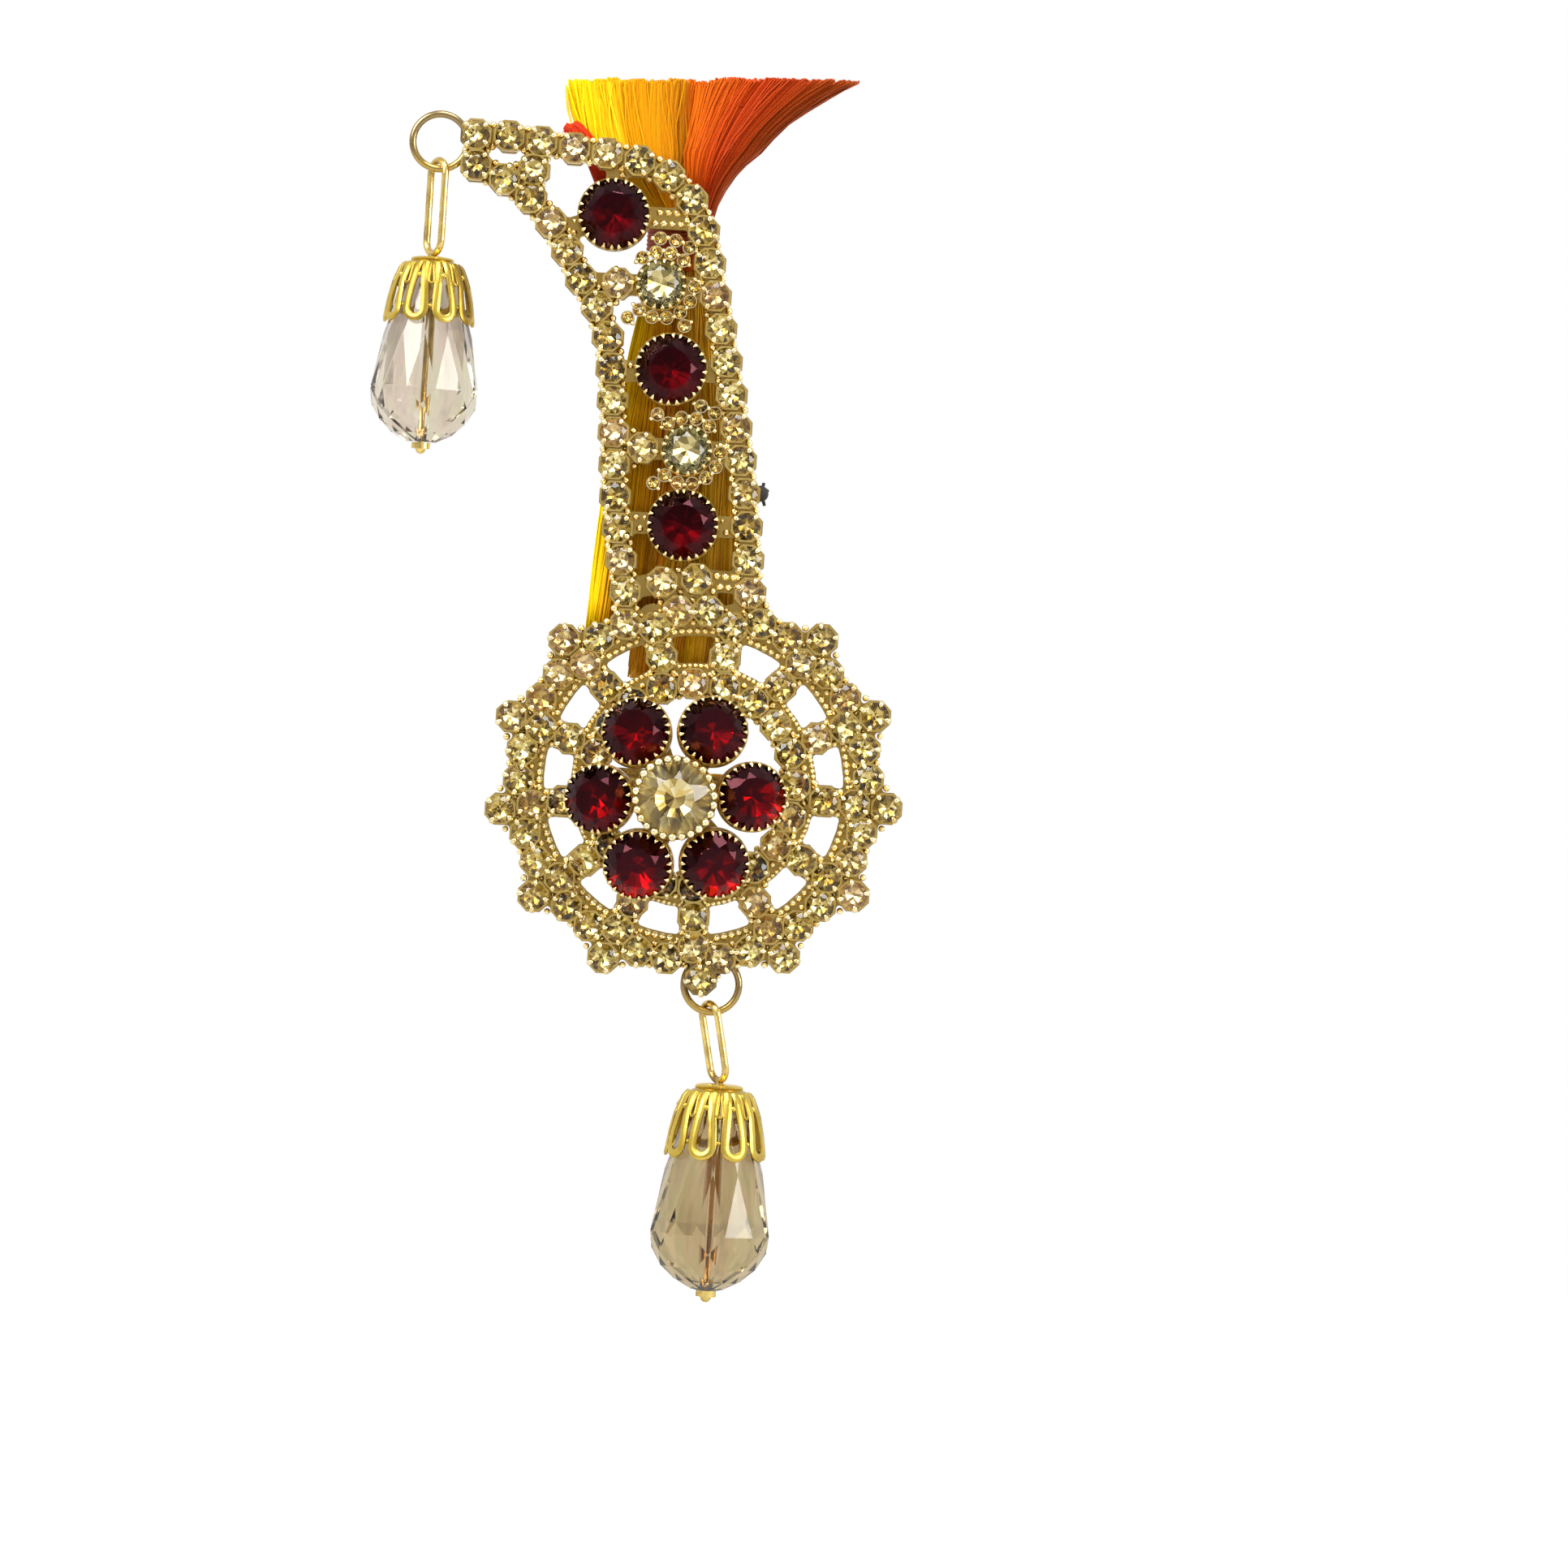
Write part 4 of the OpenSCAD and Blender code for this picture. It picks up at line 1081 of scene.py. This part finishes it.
def add_fan(shape, rows):
    """Half of the plume: a smooth heart under fine strands that gather in clumps."""
    round_heart = turns(36)
    sides = len(round_heart)
    points = [fan_spot(row, turn, 0.9) for row in rows for turn in round_heart]
    for k in range(len(points) - sides, len(points)):
        ahead = (points[k] - points[k - sides]).normalized()
        points[k] += ahead * (to_cut(points[k], ahead) - 0.9)
    shape.add((points, skin(len(rows), sides, mirrored=True)), None,
              across=[0.5 + 0.44 * math.cos(turn) for _ in rows for turn in round_heart],
              along=[row[-1] for row in rows for _ in round_heart], shade=0.35)
    clumps = [(HAND.uniform(0, math.tau), HAND.uniform(0, math.tau), HAND.random(),
               HAND.uniform(-0.012, 0.004)) for _ in range(FAN_CLUMPS)]
    for i in range(FAN_STRANDS):
        turn, phase, shade, longer = clumps[i % FAN_CLUMPS]
        own, wave = HAND.uniform(-1, 1), HAND.uniform(0, math.tau)
        stray = HAND.random() < 0.05
        reach = HAND.uniform(0.9, 1.0) + (HAND.uniform(0.02, 0.10) if stray else 0)
        radius = STRAND_R * HAND.uniform(0.75, 1.25)
        line = []
        for row in rows:
            t = row[-1]
            angle = turn + own * mix(0.16, 0.085, t) + 0.03 * math.sin(5 * t + phase)
            spot = fan_spot(row, angle, reach)
            sway = 0.22 * math.sin(4.4 * t + phase) + (0.35 if stray else 0.08) * math.sin(9 * t + wave)
            line.append(spot + Vector((sway * t, 0.3 * sway * t, 0)))
        ahead = (line[-1] - line[-2]).normalized()
        line[-1] += ahead * (to_cut(line[-1], ahead) + longer * 40 + HAND.uniform(-0.5, 0.1))
        place = min(1, max(0, 0.5 + 0.5 * reach * math.cos(turn)))
        add_strand(shape, line, radius, place, [row[-1] for row in rows], 0.6 * shade + 0.4 * HAND.random())


def add_cut_ends(shape, rows):
    """Short ends that fill a half's cut top, so that no hollow shows from above."""
    top = rows[-3:]
    for _ in range(CUT_ENDS):
        turn, reach = HAND.uniform(0, math.tau), 0.9 * math.sqrt(HAND.random())
        line = [fan_spot(row, turn, reach) for row in top]
        ahead = (line[-1] - line[-2]).normalized()
        line[-1] += ahead * (to_cut(line[-1], ahead) + HAND.uniform(-0.6, 0.05))
        place = 0.5 + 0.5 * reach * math.cos(turn)
        add_strand(shape, line, CUT_END_R, place, [row[-1] for row in top], HAND.random())


def add_neck(shape, side):
    """One side of the tied neck: half of a round core, and strands that run up and down over it."""

    def on_neck(turn, reach, z):
        return Vector((NECK[0] + side * (0.15 + reach * math.cos(turn)), NECK[1] + reach * math.sin(turn),
                       NECK[2] + z))

    sector = [math.radians(-90 + 15 * k) for k in range(13)]
    points = []
    for z, reach in NECK_ROWS:
        points += [on_neck(0, 0, z)] + [on_neck(turn, reach, z) for turn in sector]
    shape.add((points, skin(len(NECK_ROWS), len(sector) + 1)), None, across=0.5, along=0.05, shade=0.4)
    for _ in range(NECK_STRANDS):
        turn, drift, far = HAND.uniform(-1.57, 1.57), HAND.uniform(-0.2, 0.2), HAND.uniform(0.96, 1.04)
        line = [on_neck(turn + drift * z / 5, reach * far, z) for z, reach in NECK_ROWS]
        add_strand(shape, line, STRAND_R * HAND.uniform(1.0, 1.5), 0.5 + 0.4 * side * math.sin(turn),
                   [0.05] * len(line), HAND.random())


def plume_half(name, node, finish_used, slot, half):
    """Half of the plume. half is where it starts, then the ends and the bends of its two outlines."""
    shape, rows = Shape(), fan_rows(half)
    add_fan(shape, rows)
    add_cut_ends(shape, rows)
    add_neck(shape, -1 if half[0] < NECK[0] else 1)
    shape.piece(name, [finish_used], "ornament", node, slot=slot, sharp=70)


def hanging_tails(name, finish_used, slot, from_x, tails):
    """Long ends of the floss that hang behind the stem."""
    shape = Shape()
    root = (from_x, NECK[1] - 0.6, NECK[2] - LOCK_START)
    for across, bend, end in tails:
        add_lock(shape, (root, bend, end), (2.8, 4.0, 3.1), across, TAIL_STRANDS, steps=12)
    shape.piece(name, [finish_used], "ornament", slot=slot, sharp=180)


def plume():
    left, right = NECK[0] - HALF_X, NECK[0] + HALF_X
    plume_half("yellow_floss", "plume_yellow", YELLOW_SILK, "yellow_silk",
               (left, ((-17.6, 0), (-6.8, 0.6)), ((-15.4, 68.5), (-8.9, 69))))
    plume_half("orange_floss", "plume_orange", ORANGE_SILK, "orange_silk",
               (right, ((-4.2, 0.6), (11.4, 1.6)), ((-3.1, 69), (-3.1, 73.1))))
    hanging_tails("yellow_tails", YELLOW_SILK, "yellow_silk", left,
                  [((0.0, 0.8), (-9.8, 2.5, 40), (-11.6, 2.2, 15.4)),
                   ((0.3, 0.9), (-7.2, 2.5, 40), (-8.9, 2.2, 15))])
    hanging_tails("amber_tails", AMBER_SILK, "orange_silk", right,
                  [((0.5, 1.0), (-4.6, 3.1, 40), (-6.6, 2.9, 11.4)),
                   ((0.2, 0.8), (-1.6, 2.7, 40), (-4.0, 2.3, 12.2)),
                   ((0.0, 0.6), (1.0, 2.5, 40), (-0.8, 2.2, 12.6)),
                   ((0.1, 0.9), (3.8, 2.9, 40), (2.4, 2.6, 12.4))])
    tuft = Shape()
    for _ in range(5):
        end = (-18.4 + HAND.uniform(-0.8, 0.9), 1.8 + HAND.uniform(-0.5, 0.8),
               72.3 + HAND.uniform(-0.7, 0.5))
        add_lock(tuft, ((-14.5, 2.0, 66), (-15.6, 2.0, 70.5), end), (1.2, 1.6, 0.9), (0.1, 0.9), 40)
    tuft.piece("red_tuft", [RED_SILK], "ornament", slot="orange_silk", sharp=180)


def wound_tie():
    """Thread wound round the plume's neck."""
    low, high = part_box("plume_tie")
    centre = Vector(((low.x + high.x) / 2, (low.y + high.y) / 2, low.z)) / MM
    tall = (high.z - low.z) / MM
    outer = (high.x - low.x) / MM / 2
    rounds, thick, per_round = 6, tall / 13, 28
    core_r = outer - thick
    path = []
    for i in range(rounds * per_round + 1):
        turn = i * math.tau / per_round
        z = mix(thick, tall - thick, i / (rounds * per_round))
        path.append(centre + Vector((math.cos(turn) * core_r, math.sin(turn) * core_r, z)))
    shape = Shape().add(wire(path, thick * 1.05, 8))
    shape.add(turned([(0, 0), (core_r, 0), (core_r, tall), (0, tall)], 32), Matrix.Translation(centre))
    shape.piece("wound_tie", [TIE_THREAD], "ornament", "plume_tie", slot="red_thread", sharp=50)


def thread_knot():
    """The black thread's knotted end with three short tails."""
    low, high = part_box("thread_knot")
    centre, radius = (low + high) / 2 / MM, (high.z - low.z) / MM / 2

    def near(x, y, z):
        return centre + radius * Vector((x, y, z))

    path = []
    for i in range(96):
        t = i * math.tau / 96
        ring = 0.46 + 0.2 * math.cos(3 * t)
        path.append(near(ring * math.cos(2 * t), 0.42 * math.sin(3 * t), ring * math.sin(2 * t)))
    shape = Shape().add(wire(path, radius * 0.32, 8, closed=True))
    shape.add(bead(radius * 1.02, 16), Matrix.Translation(centre))
    for x, z in ((0.95, 0.5), (0.35, 1.35), (0.6, -1.45)):
        tail = [near(0.3 * x, 0, 0.3 * z), near(0.7 * x, 0, 0.6 * z), near(x, 0.1, z)]
        shape.add(wire(tail, radius * 0.2, 8))
    shape.piece("black_knot", [KNOT_THREAD], "ornament", "thread_knot", slot="black_thread", sharp=60)


def brooch_pin():
    """Plain pin on the back: a bar, a coil at one end, the tapered wire and its catch."""
    low, high = (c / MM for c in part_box("brooch_pin"))
    middle_z, half_h = (low.z + high.z) / 2, (high.z - low.z) / 2
    left, right, back = low.x, high.x, low.y
    bar_t = 0.7
    bar_y, wire_y = back + bar_t / 2, high.y - 0.9
    left_post, right_post = left + 0.8, right - 0.8
    shape = Shape()
    shape.add(swept([(x, bar_y, middle_z) for x in (left, left + 0.3, right - 0.3, right)],
                    [half_h * 0.8, half_h, half_h, half_h * 0.8], [bar_t / 2] * 4, (0, 0, 1), 12))
    for x in (left_post, right_post):
        shape.add(swept([(x, y, middle_z) for y in (back + 0.2, back + 1.2, wire_y - 0.6)],
                        [half_h * 0.9, half_h * 0.75, half_h * 0.62], [0.45, 0.4, 0.4], (0, 0, 1), 12))
    rounds, per_round, coil_r = 3, 20, 0.75
    coil = []
    for i in range(rounds * per_round + 1):
        turn = i * math.tau / per_round
        coil.append((left_post + coil_r * math.sin(turn), wire_y - coil_r * math.cos(turn),
                     middle_z - 0.8 + 1.6 * i / (rounds * per_round)))
    shape.add(wire(coil, 0.32, 8), None, 1)
    steps = 14
    straight = [(mix(left + 0.9, right - 0.2, i / steps), wire_y + 0.25 * math.sin(math.pi * i / steps),
                 middle_z + 0.8 * (1 - i / steps)) for i in range(steps + 1)]
    thin = [0.4] * (steps - 2) + [0.32, 0.2, 0.06]
    shape.add(swept(straight, thin, thin, (0, 0, 1), 10), None, 1)
    catch = [(right_post, wire_y - 0.7 + 1.1 * math.sin(a), middle_z + math.cos(a))
             for a in (math.radians(200 - 22 * k) for k in range(14))]
    shape.add(swept(catch, [0.7] * 14, [0.16] * 14, (1, 0, 0), 8))
    shape.piece("brooch_pin_wire", [PIN_GOLD, STEEL], "ornament", "brooch_pin", slot="steel_pin", sharp=45)


# Nodes that are shown as they are, with a better finish

def finish_nodes():
    shown = {"frame": PLATE_GOLD, "flower_plate": PLATE_GOLD, "beak_pin": PIN_GOLD, "base_pin": PIN_GOLD}
    for node, finish_used in shown.items():
        mesh = frame["nodes"][node].data
        mesh.materials.clear()
        mesh.materials.append(finish_used)


# Stage, light and camera

def studio():
    """Even white room with a few soft darker panels, which only reflections show."""
    world = bpy.data.worlds.new("studio")
    bpy.context.scene.world = world
    world.use_nodes = True
    tree = world.node_tree
    way = put(tree, "TexCoord").outputs["Generated"]
    split = put(tree, "SeparateXYZ", Vector=way).outputs
    room = blend(tree, fade(tree, split["Z"], -0.2, 0.9), (0.74, 0.70, 0.64, 1), (1.3, 1.27, 1.22, 1))
    gaps = fade(tree, noise(tree, way, 2.6, 1.0), 0.44, 0.56)
    room = blend(tree, gaps, (0.42, 0.39, 0.35, 1), room)
    light = blend(tree, fade(tree, split["Y"], -0.3, 0.35), room, (1.0, 0.99, 0.97, 1))
    seen = put(tree, "LightPath").outputs["Is Camera Ray"]
    feed(tree, tree.nodes["Background"].inputs, Color=blend(tree, seen, light, (1, 1, 1, 1)))


def lamp(name, place, aim_z, size, power, colour=(1, 1, 1)):
    """Round soft lamp, aimed at a height on the ornament."""
    data = bpy.data.lights.new(name, "AREA")
    data.shape, data.size, data.energy, data.color = "DISK", size, power, colour
    made = bpy.data.objects.new(name, data)
    bpy.context.scene.collection.objects.link(made)
    made.location = place
    made.rotation_euler = (Vector((0, 0, aim_z)) - Vector(place)).to_track_quat("-Z", "Y").to_euler()


def lamps():
    lamp("key", (-0.42, -0.36, 0.40), 0.01, 0.40, 4.4, (1.0, 0.97, 0.92))
    lamp("right", (0.50, -0.30, 0.16), 0, 0.32, 2.3, (1.0, 0.98, 0.95))
    lamp("top", (0.05, -0.28, 0.62), 0, 0.32, 2.3)
    lamp("low", (-0.22, -0.36, -0.45), 0, 0.16, 1.2, (1.0, 0.95, 0.86))


def pale_floor():
    """Matt floor that the camera sees as plain white."""
    mesh = bpy.data.meshes.new("floor")
    corners = ((-1, -1), (1, -1), (1, 1), (-1, 1))
    mesh.from_pydata([(x * FLOOR_HALF, y * FLOOR_HALF, 0) for x, y in corners], [], [[0, 1, 2, 3]])
    floor = bpy.data.objects.new("floor", mesh)
    floor.location.z = FLOOR_Z
    bpy.context.scene.collection.objects.link(floor)
    made, tree, shader = finish("pale_floor", Base_Color=(0.5, 0.5, 0.49, 1), Roughness=0.9,
                                Emission_Color=(1, 1, 1, 1))
    feed(tree, shader.inputs, Emission_Strength=put(tree, "LightPath").outputs["Is Camera Ray"])
    mesh.materials.append(made)


def camera():
    data = bpy.data.cameras.new("view")
    data.sensor_width = FILM_WIDTH
    data.lens = FILM_WIDTH * VIEW_DISTANCE / VIEW_WIDTH
    made = bpy.data.objects.new("view", data)
    bpy.context.scene.collection.objects.link(made)
    right = Vector((math.cos(VIEW_ROLL), 0, math.sin(VIEW_ROLL)))
    up = Vector((-math.sin(VIEW_ROLL), 0, math.cos(VIEW_ROLL)))
    back = Vector((0, -1, 0))
    place = Matrix((right, up, back)).transposed().to_4x4()
    place.translation = (VIEW_CENTRE[0], -VIEW_DISTANCE, VIEW_CENTRE[1])
    made.matrix_world = place
    bpy.context.scene.camera = made
    bpy.context.scene.view_settings.view_transform = "Standard"


camera()
studio()
lamps()
pale_floor()
finish_nodes()
for small_node in SMALL_NODES:
    small_stones(small_node)
small_claws()
grains()
collars()
large_stones()
for drop in ("beak", "base"):
    cap_place = drop_cap(f"{drop}_drop", f"{drop}_cap")
    drop_crystal(f"{drop}_drop", f"{drop}_crystal", cap_place)
plume()
wound_tie()
thread_knot()
brooch_pin()

bpy.context.view_layer.update()
